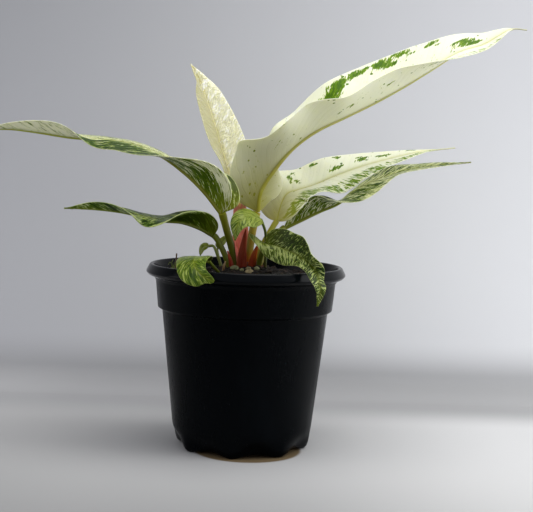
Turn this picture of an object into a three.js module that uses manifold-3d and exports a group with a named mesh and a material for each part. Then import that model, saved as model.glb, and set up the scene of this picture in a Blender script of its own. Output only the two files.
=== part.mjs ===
// A potted variegated anthurium hookeri: a black nursery pot, its soil, and a plant of eleven leaves.
// Millimetres, +Z up. The origin lies on the pot's axis, on the surface that it stands on.
// +X is the right of the front view, and -Y is the front.
import * as THREE from "three";
import { mergeVertices } from "three/addons/utils/BufferGeometryUtils.js";
import Module from "manifold-3d";

const wasm = await Module();
wasm.setup();

// Clear distance between two pieces that touch on the real plant
const GAP = 0.3;

// View: the photo's middle in pixels, where its camera stands, how far it looks down and is rolled, in
// degrees, and the pixels that a millimetre takes up at the pot's axis. Fitted to the pot's rim and foot.
const PHOTO_MIDDLE = [266.5, 256];
const VIEW_PLACE = [13.6, -800, 194.8];
const VIEW_PITCH = 4.6;
const VIEW_ROLL = 1.72;
const VIEW_SCALE = 1.4724;

// Pot: radius and height of each corner of its wall, outside from the axis up, then inside and down again
const POT_OUTSIDE = [
  [0, 0],
  [12, 0],
  [13, 1.5],
  [38, 1.5],
  [39, 0],
  [43.6, 0],
  [45.2, 1.6],
  [46.3, 5],
  [48, 17],
  [56.4, 92.9],
  [59.4, 94.8],
  [61.1, 112.9],
  [62.5, 115.2],
  [66.2, 116.9],
  [67.7, 118.6],
  [67.6, 119.5],
  [65.6, 123.5],
  [64.8, 124.1],
  [63.6, 124.1],
];
const POT_INSIDE = [
  [62.8, 123.4],
  [62, 120.5],
  [60.2, 113.6],
  [58.2, 96],
  [55.2, 93.6],
  [46.8, 17.4],
  [45, 6],
  [43.8, 3],
];
const POT_FLOOR = 3;
const POT_SIDES = 48;

// Pot foot: hollows pressed into its corner, each with an arch under it and a drain hole
const HOLLOWS = 8;
const HOLLOW_PHASE = -75;
const HOLLOW_DEPTH = 3.6;
const HOLLOW_BREADTH = 0.8;
const HOLLOW_TOP = 15;
const ARCH_RISE = 2.4;
const DRAIN_RADIUS = 3.2;
const DRAIN_RING = 33.5;

// Soil: its height at the wall, the mound under the plant and the roughness of its surface
const SOIL_EDGE = 116.6;
const MOUND_RISE = 8.5;
const MOUND_RADIUS = 26;
const SOIL_ROUGHNESS = 0.7;
const SOIL_SIDES = 48;
const SOIL_RIM = 60.4;
const SOIL_RINGS = [55, 49, 43, 37, 31, 25, 19, 13, 6];
const SOIL_FOOT = [
  [0, 5.4],
  [39.5, 5.4],
  [40.6, 16],
];

// Crown: radius and height of the short stem that the stalks leave
const CROWN_PROFILE = [
  [0, 106],
  [8, 106],
  [13, 113],
  [13.6, 119],
  [12, 123.6],
  [8, 126.2],
  [0, 127.2],
];
const CROWN_SIDES = 20;

// Leaf blades: thickness, and how far the midrib stands out below at the base of a large leaf
const BLADE_THICKNESS = 0.7;
const RIB_DEPTH = 2;
const RIB_HALF = 1.7;
const TIP_HALF = 0.9;
const LOBE_LENGTH = 0.3;
const BLADE_COLUMNS = [1 / 3, 2 / 3, 1];
const SHEATH_COLUMNS = [1];

// Leaf stalks
const STALK_SIDES = 8;
const STALK_STEP = 5.5;

// Colours, roughness and metalness of the finishes
const BLACK_PLASTIC = { color: 0x15171a, roughness: 0.42, metalness: 0 };
const SOIL_MIX = { color: 0x17120e, roughness: 0.95, metalness: 0 };
const CROWN_SKIN = { color: 0x4a2412, roughness: 0.7, metalness: 0 };
const STALK_GREEN = { color: 0x7d7b1c, roughness: 0.5, metalness: 0 };
const LEAF_GREEN = { color: 0x5d7f33, roughness: 0.45, metalness: 0 };
const LEAF_DARK = { color: 0x3b5c22, roughness: 0.45, metalness: 0 };
const LEAF_CREAM = { color: 0xdcdfc0, roughness: 0.4, metalness: 0 };
const LEAF_PALE = { color: 0xa9ba8c, roughness: 0.45, metalness: 0 };
const SHEATH_RED = { color: 0xa23a22, roughness: 0.55, metalness: 0 };
const SHEATH_PINK = { color: 0xd98a84, roughness: 0.6, metalness: 0 };
const DRY_BROWN = { color: 0x8a6f52, roughness: 0.85, metalness: 0 };
const PEBBLE_PALE = { color: 0x9b9672, roughness: 0.8, metalness: 0 };
const ROOT_PALE = { color: 0x8f9a63, roughness: 0.85, metalness: 0 };

// Each leaf blade. A pick is a place on the midrib, from base to tip: pixels across and down the photo, picked
// by eye, and y, chosen so that the leaf fits round the others. Then come the degrees that the left and the
// right half stand above the plane across the rib there. A rib row has x, y and z in place of the pick's
// first three, for the two small leaves that the photo half hides. Left is as seen along the rib from above.
// across is about the way that the left half points. half is the widest half-width, left and right.
// rise and fall shape the outline at the base and the tip, and reach is where the drip tip begins.
// lobe is how far the base of each half sweeps back past the stalk, and notch how deep a torn top dips.
// A wave makes the margin stand out: side, the place along the leaf, millimetres and how far it spreads.
const BLADES = [
  {
    name: "blade_a",
    finish: LEAF_GREEN,
    across: [0, -1, 0],
    half: [24, 24],
    rise: [0.35, 0.35],
    fall: 1,
    lobe: [1, 10],
    rows: 22,
    picks: [
      [222, 213, -15.5, 54, 84],
      [205, 191, -13, 56, 62],
      [183.5, 170.5, -8, 14, 10],
      [158, 153, -1, -14, 2],
      [130, 143, 7, -18, 3],
      [100, 139, 13, -15, 6],
      [70, 137, 17, 28, 10],
      [40, 132.5, 20, 50, 20],
      [10, 129, 22, 50, 30],
      [-20, 129.5, 23, 30, 30],
    ],
  },
  {
    name: "blade_b",
    finish: LEAF_DARK,
    across: [0, -1, 0],
    half: [15, 15],
    rise: [0.4, 0.4],
    fall: 1,
    lobe: [1, 3],
    rows: 20,
    picks: [
      [213.5, 235.5, -10, 66, 64],
      [200, 228, -14, 62, 50],
      [182, 222, -18, 34, 22],
      [163, 220.5, -22, 4, 8],
      [143, 216.5, -26, -24, 6],
      [122, 212, -30, 14, 12],
      [100, 209.5, -33, 42, 14],
      [82, 208.5, -36, 54, 30],
      [64, 208, -38, 30, 30],
    ],
  },
  {
    name: "blade_c",
    finish: LEAF_CREAM,
    across: [-1, -0.3, 0],
    half: [17.5, 18.5],
    rise: [0.45, 0.45],
    fall: 1.1,
    lobe: [2, 2],
    rows: 16,
    picks: [
      [238, 200, 15, 50, 20],
      [229, 173, 20, 60, 14],
      [222, 150, 25, 50, 8],
      [214, 122, 30, 42, 4],
      [205, 95, 35, 40, 4],
      [199, 80, 38, 52, 6],
      [191, 64, 40, 30, 10],
    ],
  },
  {
    name: "blade_d",
    finish: LEAF_CREAM,
    across: [0, 1, 0],
    half: [31, 33],
    rise: [0.7, 0.45],
    fall: 0.8,
    reach: 0.925,
    lobe: [0, -8],
    waves: [
      [-1, 0.218, -8, 0.034],
      [-1, 0.172, 2, 0.018],
    ],
    rows: 26,
    picks: [
      [257, 212, -3, -47, 94],
      [260, 192, -2.5, -47, 94],
      [273, 171, -1, -26, 80],
      [291, 149, 2, 39, 32],
      [315, 131, 6, 40, 32],
      [345, 116.5, 10, 60, 20],
      [375, 102, 13, 61, 25],
      [405, 85.5, 14, 57, 25],
      [432, 69, 13, 52, 10],
      [458, 53, 12, 44, -13],
      [485, 44, 10, 42, -21],
      [511, 29.5, 8, 30, -10],
      [527, 29.5, 7, 10, 10],
    ],
  },
  {
    name: "blade_e",
    finish: LEAF_CREAM,
    across: [-0.7, 0.7, 0],
    half: [21, 20],
    rise: [0.4, 0.4],
    fall: 1,
    reach: 0.93,
    lobe: [0, 1],
    rows: 22,
    picks: [
      [277, 221, 10, 10, -6],
      [281, 205, 12, 26, -10],
      [287, 194, 16, 44, -14],
      [298, 190, 21, 36, -4],
      [314, 185, 27, 31, -6],
      [335, 176, 33, 40, -33],
      [360, 167, 39, 31, -21],
      [385, 160, 44, 25, -15],
      [410, 154, 49, 18, -12],
      [433, 150, 53, 10, 0],
      [455, 147.5, 56, 0, 0],
    ],
  },
  {
    name: "blade_f",
    finish: LEAF_GREEN,
    across: [0, 1, 0],
    half: [16, 17],
    rise: [0.8, 0.8],
    fall: 1,
    lobe: [0, 0],
    rows: 20,
    picks: [
      [284, 227.5, 14, 50, 66],
      [300, 220, 15.5, 54, 76],
      [320, 210.5, 15, 50, 56],
      [337, 203.5, 13, 2, 15],
      [352, 192.5, 12, 0, -24],
      [370, 182.5, 13, 8, -26],
      [395, 174, 14, 25, -3],
      [420, 168, 14, 16, -5],
      [445, 165, 13, 18, -5],
      [471, 162, 12, 0, 0],
    ],
  },
  {
    name: "blade_g",
    finish: LEAF_PALE,
    across: [0.4, -0.9, 0],
    half: [9, 9],
    rise: [0.4, 0.4],
    fall: 0.8,
    lobe: [0, 0],
    rows: 10,
    picks: [
      [261, 219.5, -18, -20, 30],
      [252, 216.5, -23, -48, 32],
      [243, 218.5, -28, -52, 28],
      [237, 226.5, -31, -34, 26],
      [235, 240.5, -32, -10, 10],
    ],
  },
  {
    name: "blade_h",
    finish: LEAF_GREEN,
    across: [0.85, 0.5, 0],
    half: [11.5, 10.5],
    rise: [0.3, 0.3],
    fall: 0.9,
    lobe: [0, 9],
    waves: [
      [1, 0.74, -2.6, 0.07],
      [1, 0.42, 2.2, 0.12],
      [1, 0.2, 1.4, 0.08],
      [-1, 0.035, 5, 0.035],
      [-1, 0.5, -2, 0.14],
    ],
    rows: 22,
    picks: [
      [265.5, 246.5, -20, 84, 80],
      [274.5, 245.5, -24, 84, -34],
      [286, 250, -31, 80, -60],
      [297, 255, -40, 84, -50],
      [307, 261.5, -50, 98, -28],
      [315, 269, -59, 104, -24],
      [318.5, 280, -66, 8, -15],
      [320, 291.5, -71, 30, 0],
      [317.5, 306.5, -73, 20, 0],
    ],
  },
  {
    name: "blade_i",
    finish: LEAF_PALE,
    across: [1, 0, 0],
    half: [8, 12],
    rise: [0.35, 0.35],
    fall: 0.6,
    lobe: [0, 0],
    waves: [
      [-1, 0.78, 2.4, 0.14],
      [-1, 0.92, -2.4, 0.05],
    ],
    rows: 14,
    picks: [
      [208, 261, -28, 10, 10],
      [201, 257, -38, 4, 0],
      [196.5, 257.5, -50, 0, -6],
      [194, 261, -61, 0, -14],
      [195, 267.5, -70, 0, -18],
      [201, 275, -75, 0, -8],
      [214, 281.5, -76, 0, 0],
    ],
  },
  {
    name: "blade_j",
    finish: LEAF_PALE,
    across: [0, -1, 0],
    half: [4.6, 4.6],
    rise: [0.4, 0.4],
    fall: 0.6,
    lobe: [0, 0],
    rows: 6,
    rib: [
      [-26.4, 4, 135.6, -30, 30],
      [-30.4, 5, 134.4, -30, 30],
      [-32, 5, 129, -20, 20],
    ],
  },
  {
    name: "blade_k",
    finish: LEAF_PALE,
    across: [-0.6, 0.6, 0],
    half: [4, 4],
    rise: [0.4, 0.4],
    fall: 0.7,
    lobe: [0, 0],
    rows: 6,
    rib: [
      [-20, 10, 134, 30, 10],
      [-17, 12, 138, 30, 10],
      [-14, 14, 143, 20, 10],
    ],
  },
];

// The papery sheaths are made as the blades are, from rib rows, but stand up round the stalks.
const SHEATHS = [
  {
    name: "sheath_red",
    finish: SHEATH_RED,
    across: [-1, 0, 0],
    half: [4.3, 4],
    rise: [0, 0],
    fall: 0.7,
    rows: 7,
    rib: [
      [-3, -12.4, 121, -26, -26],
      [-2.6, -12.8, 132, -26, -26],
      [-1.6, -13, 141, -26, -26],
      [-0.8, -13.2, 149, -20, -20],
    ],
  },
  {
    name: "sheath_pink_left",
    finish: SHEATH_PINK,
    across: [-0.6, -0.8, 0],
    half: [2.6, 2.8],
    rise: [0, 0],
    fall: 0.7,
    rows: 6,
    rib: [
      [-3.9, -8.1, 121.5, 0, 0],
      [-6, -8.9, 131, 0, 0],
      [-8.3, -9.4, 140.5, 0, 0],
    ],
  },
  {
    name: "sheath_rose",
    finish: SHEATH_RED,
    across: [-1, 0, 0],
    half: [2, 2],
    rise: [0, 0],
    fall: 0.7,
    rows: 5,
    rib: [
      [-9.2, -11.4, 121, -20, -20],
      [-10.6, -11.8, 128, -20, -20],
      [-12.6, -11.6, 134, -10, -10],
    ],
  },
  {
    name: "sheath_orange",
    finish: SHEATH_RED,
    across: [-1, 0, 0],
    half: [3.6, 3.2],
    rise: [0, 0],
    fall: 0.6,
    rows: 6,
    rib: [
      [3.4, -10.4, 121, -24, -24],
      [5, -11, 130, -24, -24],
      [7.6, -12, 139, -10, -10],
    ],
  },
  {
    name: "sheath_pink_tall",
    finish: SHEATH_PINK,
    across: [-1, -0.1, 0],
    half: [6.4, 6],
    rise: [0, 0],
    fall: 0.12,
    notch: 3.4,
    rows: 9,
    rib: [
      [-3.4, 2.4, 121, 12, 12],
      [-4, 3.6, 136, 12, 12],
      [-4.8, 4.6, 150, 12, 12],
      [-5.4, 5.4, 162.6, 12, 12],
    ],
  },
  {
    name: "sheath_dry",
    finish: DRY_BROWN,
    across: [-0.7, -0.7, 0],
    half: [1.5, 1.5],
    rise: [0, 0],
    fall: 0.5,
    rows: 4,
    rib: [
      [-15.6, -15.4, 119.6, 30, 30],
      [-15, -14.8, 124, 30, 30],
      [-13.8, -14.2, 127.2, 20, 20],
    ],
  },
];

// Each leaf stalk: its route from the crown or the soil to its blade, and its radius at the foot and the top
const STALKS = [
  {
    name: "petiole_a",
    from: 2.6,
    to: 2.4,
    route: [[-6, -5, 112], [-6.8, -5.8, 122], [-10, -8, 136], [-13, -10.6, 146], [-16.6, -15.1, 158.8]],
  },
  {
    name: "petiole_b",
    from: 2,
    to: 1.9,
    route: [[-10.4, -7.6, 112], [-11.2, -8, 122], [-15.4, -8.8, 133], [-21.2, -9.7, 143.2]],
  },
  {
    name: "petiole_c",
    from: 2.4,
    to: 2,
    route: [[-2.4, 8, 112], [-2.8, 9, 125], [-4.2, 12, 145], [-6.8, 14.9, 167.2]],
  },
  {
    name: "petiole_d",
    from: 2.8,
    to: 2.5,
    route: [[1.2, -2, 112], [1.4, -2.6, 124], [2.6, -3, 140], [6, -3, 159.8]],
  },
  {
    name: "petiole_e",
    from: 2.1,
    to: 1.8,
    route: [[5.5, 4, 112], [6.5, 4.5, 124], [11, 6, 138], [19.4, 9.7, 153.2]],
  },
  {
    name: "petiole_f",
    from: 2,
    to: 1.8,
    route: [[8, -1.6, 112], [9, -1, 124], [14.4, 4, 135], [24.4, 13.5, 149]],
  },
  {
    name: "petiole_g",
    from: 1.1,
    to: 0.9,
    route: [[12.6, -4, 112], [12.9, -5, 124], [13, -6, 136], [12.4, -9, 147], [9.6, -17.2, 155.1]],
  },
  {
    name: "petiole_h",
    from: 1.9,
    to: 1.7,
    route: [[8, -8.5, 112], [8.3, -9.5, 122], [9.6, -13.4, 130.5], [12.2, -19.4, 138.2]],
  },
  {
    name: "petiole_i",
    from: 1.1,
    to: 1,
    route: [[-14, -12, 110], [-17, -16, 118.5], [-20.5, -21, 123], [-24.4, -27.4, 128]],
  },
  {
    name: "petiole_j",
    from: 1.1,
    to: 0.9,
    route: [[-13, -1, 110], [-16, 0, 119], [-20, 2, 130], [-23, 3, 136], [-25.4, 3.8, 135.9]],
  },
  {
    name: "petiole_k",
    from: 1,
    to: 0.8,
    route: [[-12, 5, 110], [-16, 6, 119], [-20.5, 9.6, 133.4]],
  },
  {
    name: "twig",
    finish: DRY_BROWN,
    from: 0.7,
    to: 0.5,
    route: [[-49, 10, 110], [-48.8, 10, 120], [-48.4, 10, 129.6]],
  },
];

// Pebbles of the topdressing at the front of the crown: middle, then half-sizes
const PEBBLES = [
  { middle: [-7.5, -16.4, 123], size: [3, 2.3, 1.8] },
  { middle: [-2.7, -18.6, 122], size: [1.5, 1.4, 1.2] },
  { middle: [2.3, -20.6, 121.2], size: [2.9, 2.2, 1.9] },
  { middle: [7.2, -15.4, 123], size: [1.9, 1.7, 1.6] },
  { middle: [1.6, -16.2, 122.8], size: [1.9, 1.5, 1.4] },
];

// Moss on the soil: a clump with curled shoots
const MOSS_CLUMP = { middle: [-50.5, 18, 117.4], size: [3.6, 3.2, 2.2] };
const MOSS_SHOOT = 0.55;
const MOSS_ROUTES = [
  [[-50, 18, 117], [-51.5, 17.4, 121], [-53.6, 17, 122.6], [-54.6, 17, 121]],
  [[-50.4, 18.4, 117], [-50.2, 18, 122], [-48.6, 17.8, 124], [-47, 18, 122.8]],
  [[-49.6, 17, 117], [-48.4, 16, 120], [-46.6, 15.6, 120.8]],
  [[-51.4, 19, 117], [-52.4, 19.4, 122], [-51.4, 19.6, 124.6]],
];

// Solids are joined and cut as closed bodies whose shared corners are merged
function bodyOf(geometry) {
  const plain = geometry.clone();
  plain.deleteAttribute("normal");
  plain.deleteAttribute("uv");
  const merged = mergeVertices(plain, 1e-4);
  return new wasm.Manifold(new wasm.Mesh({
    numProp: 3,
    vertProperties: new Float32Array(merged.attributes.position.array),
    triVerts: new Uint32Array(merged.index.array),
  }));
}

function geometryOf(body) {
  const mesh = body.getMesh();
  const geometry = new THREE.BufferGeometry();
  geometry.setAttribute("position", new THREE.BufferAttribute(new Float32Array(mesh.vertProperties), 3));
  geometry.setIndex(new THREE.BufferAttribute(new Uint32Array(mesh.triVerts), 1));
  return geometry;
}

// The largest body that is left of a cut, without the loose scraps
function largest(body) {
  const parts = body.decompose();
  return parts.reduce((best, part) => (part.volume() > best.volume() ? part : best));
}

const plant = new THREE.Group();

function addMesh(name, geometry, finish) {
  geometry.computeVertexNormals();
  const mesh = new THREE.Mesh(geometry, new THREE.MeshStandardMaterial(finish));
  mesh.name = name;
  plant.add(mesh);
}

// A number between -1 and 1 that looks random and is the same every time
function hash(a, b) {
  const wave = Math.sin(a * 127.1 + b * 311.7) * 43758.5453;
  return 2 * (wave - Math.floor(wave)) - 1;
}

// Smooth step from 0 to 1 between two values
function smooth(from, to, value) {
  return THREE.MathUtils.smoothstep(value, from, to);
}

// Catmull-Rom through a row of numbers, at 0 to 1 along it
function along(values, t) {
  const place = t * (values.length - 1);
  const k = Math.min(Math.floor(place), values.length - 2);
  const f = place - k;
  const v1 = values[k];
  const v2 = values[k + 1];
  const v0 = k > 0 ? values[k - 1] : 2 * v1 - v2;
  const v3 = k + 2 < values.length ? values[k + 2] : 2 * v2 - v1;
  const slope1 = (v2 - v0) / 2;
  const slope2 = (v3 - v1) / 2;
  const bend = 2 * v1 - 2 * v2 + slope1 + slope2;
  const lean = 3 * v2 - 3 * v1 - 2 * slope1 - slope2;
  return v1 + f * (slope1 + f * (lean + f * bend));
}

// The place of a pick: x, y and z of the point that the photo shows there, at the depth that the pick gives
function placed([across, down, depth]) {
  const roll = THREE.MathUtils.degToRad(VIEW_ROLL);
  const pitch = THREE.MathUtils.degToRad(VIEW_PITCH);
  const right = across - PHOTO_MIDDLE[0];
  const rise = PHOTO_MIDDLE[1] - down;
  const level = right * Math.cos(roll) - rise * Math.sin(roll);
  const upright = right * Math.sin(roll) + rise * Math.cos(roll);
  const focal = -VIEW_PLACE[1] * VIEW_SCALE;
  const ahead = focal * Math.cos(pitch) + upright * Math.sin(pitch);
  const reach = (depth - VIEW_PLACE[1]) / ahead;
  const z = VIEW_PLACE[2] + reach * (upright * Math.cos(pitch) - focal * Math.sin(pitch));
  return [VIEW_PLACE[0] + reach * level, depth, z];
}

for (const leaf of BLADES) {
  leaf.rib ??= leaf.picks.map((pick) => [...placed(pick), ...pick.slice(3)]);
}

// The midrib's place, or the lift of a half, at 0 to 1 along a blade
function ribPoint(leaf, t) {
  return new THREE.Vector3(...[0, 1, 2].map((axis) => along(leaf.rib.map((row) => row[axis]), t)));
}

function halfWidth(leaf, t, side) {
  const u = Math.min(t / (leaf.reach ?? 1), 1);
  const rise = leaf.rise[side > 0 ? 0 : 1];
  const peak = rise / (rise + leaf.fall);
  const swell = rise === 0 ? 1 : Math.pow(u / peak, rise);
  const shape = swell * Math.pow((1 - u) / (1 - peak), leaf.fall);
  const waves = (leaf.waves ?? []).filter((wave) => wave[0] === side);
  const extra = waves.map(([, place, size, spread]) => size * Math.exp(-(((t - place) / spread) ** 2)));
  const full = leaf.half[side > 0 ? 0 : 1] * shape;
  return Math.max(full + extra.reduce((sum, size) => sum + size, 0), TIP_HALF);
}

// A point of the blade's middle sheet: t along the rib, side +1 left or -1 right, v from the rib outwards
function sheetPoint(leaf, t, side, v, grow = 0) {
  const step = 0.002;
  const rib = ribPoint(leaf, t);
  const ahead = ribPoint(leaf, Math.min(t + step, 1));
  const tangent = ahead.sub(ribPoint(leaf, Math.max(t - step, 0))).normalize();
  const left = new THREE.Vector3(...leaf.across);
  left.addScaledVector(tangent, -left.dot(tangent)).normalize();
  const up = new THREE.Vector3().crossVectors(tangent, left);
  const lifts = leaf.rib.map((row) => row[side > 0 ? 3 : 4]);
  const lift = THREE.MathUtils.degToRad(along(lifts, t));
  const reach = v * (halfWidth(leaf, t, side) + grow);
  const sweep = leaf.lobe ? leaf.lobe[side > 0 ? 0 : 1] * Math.pow(Math.max(0, 1 - t / LOBE_LENGTH), 2) : 0;
  const back = (sweep * reach) / leaf.half[side > 0 ? 0 : 1] - (leaf.notch ?? 0) * v * Math.pow(t, 6);
  return rib
    .addScaledVector(left, side * Math.cos(lift) * reach)
    .addScaledVector(up, Math.sin(lift) * reach)
    .addScaledVector(tangent, -back);
}

// Rows lie closer together at the base and the tip, where the outline turns fastest
function rowAt(leaf, i) {
  const even = i / leaf.rows;
  return 0.6 * even + 0.4 * (0.5 - 0.5 * Math.cos(Math.PI * even));
}

function columnsOf(leaf) {
  return leaf.rise[0] === 0 ? SHEATH_COLUMNS : BLADE_COLUMNS;
}

// Fractions across one half of the blade: the rib's edge first, then even columns out to the margin
function columnsAt(leaf, t, side) {
  const edge = Math.min(RIB_HALF / halfWidth(leaf, t, side), 0.35);
  return [edge, ...columnsOf(leaf).map((f) => edge + (1 - edge) * f)];
}

// A closed blade: two sheets with the same triangles, joined round the margin
function bladeGeometry(leaf, grow = 0) {
  const columns = columnsOf(leaf).length + 1;
  const width = 2 * columns + 1;
  const middle = [];
  for (let i = 0; i <= leaf.rows; i++) {
    const t = rowAt(leaf, i);
    const right = columnsAt(leaf, t, -1).reverse().map((v) => sheetPoint(leaf, t, -1, v, grow));
    const left = columnsAt(leaf, t, 1).map((v) => sheetPoint(leaf, t, 1, v, grow));
    middle.push([...right, ribPoint(leaf, t), ...left]);
  }
  const points = [];
  const index = (face, i, j) => (face * (leaf.rows + 1) + i) * width + j;
  for (const face of [0, 1]) {
    for (let i = 0; i <= leaf.rows; i++) {
      for (let j = 0; j < width; j++) {
        const lengthwise = middle[Math.min(i + 1, leaf.rows)][j].clone().sub(middle[Math.max(i - 1, 0)][j]);
        const crosswise = middle[i][Math.min(j + 1, width - 1)].clone().sub(middle[i][Math.max(j - 1, 0)]);
        const up = lengthwise.cross(crosswise).normalize();
        const rib = j === columns ? RIB_DEPTH * (1 - i / leaf.rows) * Math.min(leaf.half[1] / 20, 1) : 0;
        const offset = face === 0 ? BLADE_THICKNESS / 2 + grow : -BLADE_THICKNESS / 2 - grow - rib;
        points.push(middle[i][j].clone().addScaledVector(up, offset));
      }
    }
  }
  const faces = [];
  const quad = (a, b, c, d) => faces.push(a, b, c, a, c, d);
  for (let i = 0; i < leaf.rows; i++) {
    for (let j = 0; j < width - 1; j++) {
      quad(index(0, i, j), index(0, i + 1, j), index(0, i + 1, j + 1), index(0, i, j + 1));
      faces.push(index(1, i, j), index(1, i + 1, j + 1), index(1, i + 1, j));
      faces.push(index(1, i, j), index(1, i, j + 1), index(1, i + 1, j + 1));
    }
  }
  const margin = [];
  for (let i = 0; i < leaf.rows; i++) margin.push([i, 0]);
  for (let j = 0; j < width - 1; j++) margin.push([leaf.rows, j]);
  for (let i = leaf.rows; i > 0; i--) margin.push([i, width - 1]);
  for (let j = width - 1; j > 0; j--) margin.push([0, j]);
  margin.forEach(([i, j], k) => {
    const [ni, nj] = margin[(k + 1) % margin.length];
    quad(index(0, ni, nj), index(0, i, j), index(1, i, j), index(1, ni, nj));
  });
  const geometry = new THREE.BufferGeometry();
  const values = new Float32Array(points.flatMap((point) => point.toArray()));
  geometry.setAttribute("position", new THREE.BufferAttribute(values, 3));
  geometry.setIndex(faces);
  return geometry;
}

// A round stalk along a route, thinner or thicker towards its end
function stalkGeometry(stalk, grow = 0) {
  const path = new THREE.CatmullRomCurve3(stalk.route.map((p) => new THREE.Vector3(...p)));
  const steps = Math.max(4, Math.round(path.getLength() / STALK_STEP));
  const corners = [];
  const sides = stalk.sides ?? STALK_SIDES;
  for (let k = 0; k < sides; k++) {
    const angle = (2 * Math.PI * k) / sides;
    corners.push(new THREE.Vector2(Math.cos(angle), Math.sin(angle)));
  }
  const geometry = new THREE.ExtrudeGeometry(new THREE.Shape(corners), { steps, extrudePath: path });
  const centres = path.getSpacedPoints(steps);
  const place = geometry.attributes.position;
  for (let k = 0; k < place.count; k++) {
    const point = new THREE.Vector3().fromBufferAttribute(place, k);
    const distances = centres.map((centre) => centre.distanceTo(point));
    const nearest = distances.indexOf(Math.min(...distances));
    const radius = THREE.MathUtils.lerp(stalk.from, stalk.to, nearest / steps) + grow;
    point.sub(centres[nearest]).multiplyScalar(radius).add(centres[nearest]);
    place.setXYZ(k, point.x, point.y, point.z);
  }
  return geometry;
}

// How deep a hollow of the pot's foot is at an angle, from 0 between two hollows to 1 in the middle of one
function hollowAt(x, y) {
  const angle = Math.atan2(y, x) - THREE.MathUtils.degToRad(HOLLOW_PHASE);
  return Math.pow(0.5 + 0.5 * Math.cos(HOLLOWS * angle), HOLLOW_BREADTH);
}

// Presses the hollows and arches into the foot of a turned shape
function pressFoot(geometry) {
  const place = geometry.attributes.position;
  for (let k = 0; k < place.count; k++) {
    const x = place.getX(k);
    const y = place.getY(k);
    const z = place.getZ(k);
    const radius = Math.hypot(x, y);
    if (radius < 1) continue;
    const hollow = hollowAt(x, y) * smooth(34, 42, radius);
    const inwards = HOLLOW_DEPTH * hollow * (1 - smooth(4, HOLLOW_TOP, z));
    const scale = (radius - inwards) / radius;
    place.setXYZ(k, x * scale, y * scale, z + ARCH_RISE * hollow * (1 - smooth(0, 8, z)));
  }
}

// Turned geometry about the Z axis, from radius and height pairs
function turned(profile, sides) {
  const geometry = new THREE.LatheGeometry(profile.map(([r, z]) => new THREE.Vector2(r, z)), sides);
  geometry.rotateX(Math.PI / 2);
  return geometry;
}

function potGeometry() {
  const geometry = turned([...POT_OUTSIDE, ...POT_INSIDE, [0, POT_FLOOR]], POT_SIDES);
  pressFoot(geometry);
  let pot = bodyOf(geometry);
  for (let k = 0; k < HOLLOWS; k++) {
    const angle = THREE.MathUtils.degToRad(HOLLOW_PHASE + (360 * k) / HOLLOWS);
    const drain = new THREE.CylinderGeometry(DRAIN_RADIUS, DRAIN_RADIUS, 20, 8);
    drain.rotateX(Math.PI / 2);
    drain.translate(DRAIN_RING * Math.cos(angle), DRAIN_RING * Math.sin(angle), 0);
    pot = pot.subtract(bodyOf(drain));
  }
  return geometryOf(pot);
}

function soilHeight(x, y) {
  const mound = MOUND_RISE * Math.exp(-(x * x + y * y) / (MOUND_RADIUS * MOUND_RADIUS));
  return SOIL_EDGE + mound;
}

function soilBody() {
  const wall = POT_INSIDE.filter(([, z]) => z < SOIL_EDGE && z > HOLLOW_TOP);
  const profile = [
    ...SOIL_FOOT,
    ...wall.map(([r, z]) => [r - GAP - 0.2, z + 1]).reverse(),
    [SOIL_RIM, SOIL_EDGE],
    ...SOIL_RINGS.map((r) => [r, SOIL_EDGE + 1]),
    [0, SOIL_EDGE + 1],
  ];
  const geometry = turned(profile, SOIL_SIDES);
  const place = geometry.attributes.position;
  for (let k = 0; k < place.count; k++) {
    if (place.getZ(k) < SOIL_EDGE + 0.5) continue;
    const x = place.getX(k);
    const y = place.getY(k);
    const rough = SOIL_ROUGHNESS * hash(Math.round(x * 10), Math.round(y * 10));
    place.setZ(k, soilHeight(x, y) + rough);
  }
  return bodyOf(geometry);
}

// A rough pebble, or with grow the seat that it lies in
function pebbleGeometry({ middle, size }, grow = 0) {
  const geometry = new THREE.IcosahedronGeometry(1, 1);
  const place = geometry.attributes.position;
  for (let k = 0; k < place.count; k++) {
    const point = new THREE.Vector3().fromBufferAttribute(place, k);
    const seed = Math.round(point.x * 50) + Math.round(point.y * 50) * 3;
    const rough = 1 + 0.12 * hash(seed, Math.round(point.z * 50) + middle[0]);
    const reach = size.map((half, axis) => middle[axis] + point.getComponent(axis) * (half * rough + grow));
    place.setXYZ(k, ...reach);
  }
  return geometry;
}

function mossBody() {
  let moss = bodyOf(pebbleGeometry(MOSS_CLUMP));
  for (const route of MOSS_ROUTES) {
    moss = moss.add(bodyOf(stalkGeometry({ route, from: MOSS_SHOOT, to: MOSS_SHOOT, sides: 5 })));
  }
  return moss;
}

addMesh("pot", potGeometry(), BLACK_PLASTIC);

let crown = bodyOf(turned(CROWN_PROFILE, CROWN_SIDES));
const crownSeat = CROWN_PROFILE.map(([r, z]) => [r && r + GAP, z + (z > 113 ? GAP : -GAP)]);
let soil = soilBody().subtract(bodyOf(turned(crownSeat, CROWN_SIDES)));

function seat(body) {
  crown = crown.subtract(body);
  soil = soil.subtract(body);
}

for (const stalk of STALKS) {
  addMesh(stalk.name, stalkGeometry(stalk), stalk.finish ?? STALK_GREEN);
  seat(bodyOf(stalkGeometry(stalk, GAP)));
}
for (const sheath of SHEATHS) {
  addMesh(sheath.name, bladeGeometry(sheath), sheath.finish);
  seat(bodyOf(bladeGeometry(sheath, GAP)));
}
PEBBLES.forEach((pebble, k) => {
  addMesh(`pebble_${k + 1}`, pebbleGeometry(pebble), PEBBLE_PALE);
  seat(bodyOf(pebbleGeometry(pebble, GAP)));
});
const moss = mossBody();
addMesh("moss", geometryOf(moss), ROOT_PALE);
seat(bodyOf(pebbleGeometry(MOSS_CLUMP, GAP)));

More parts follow.
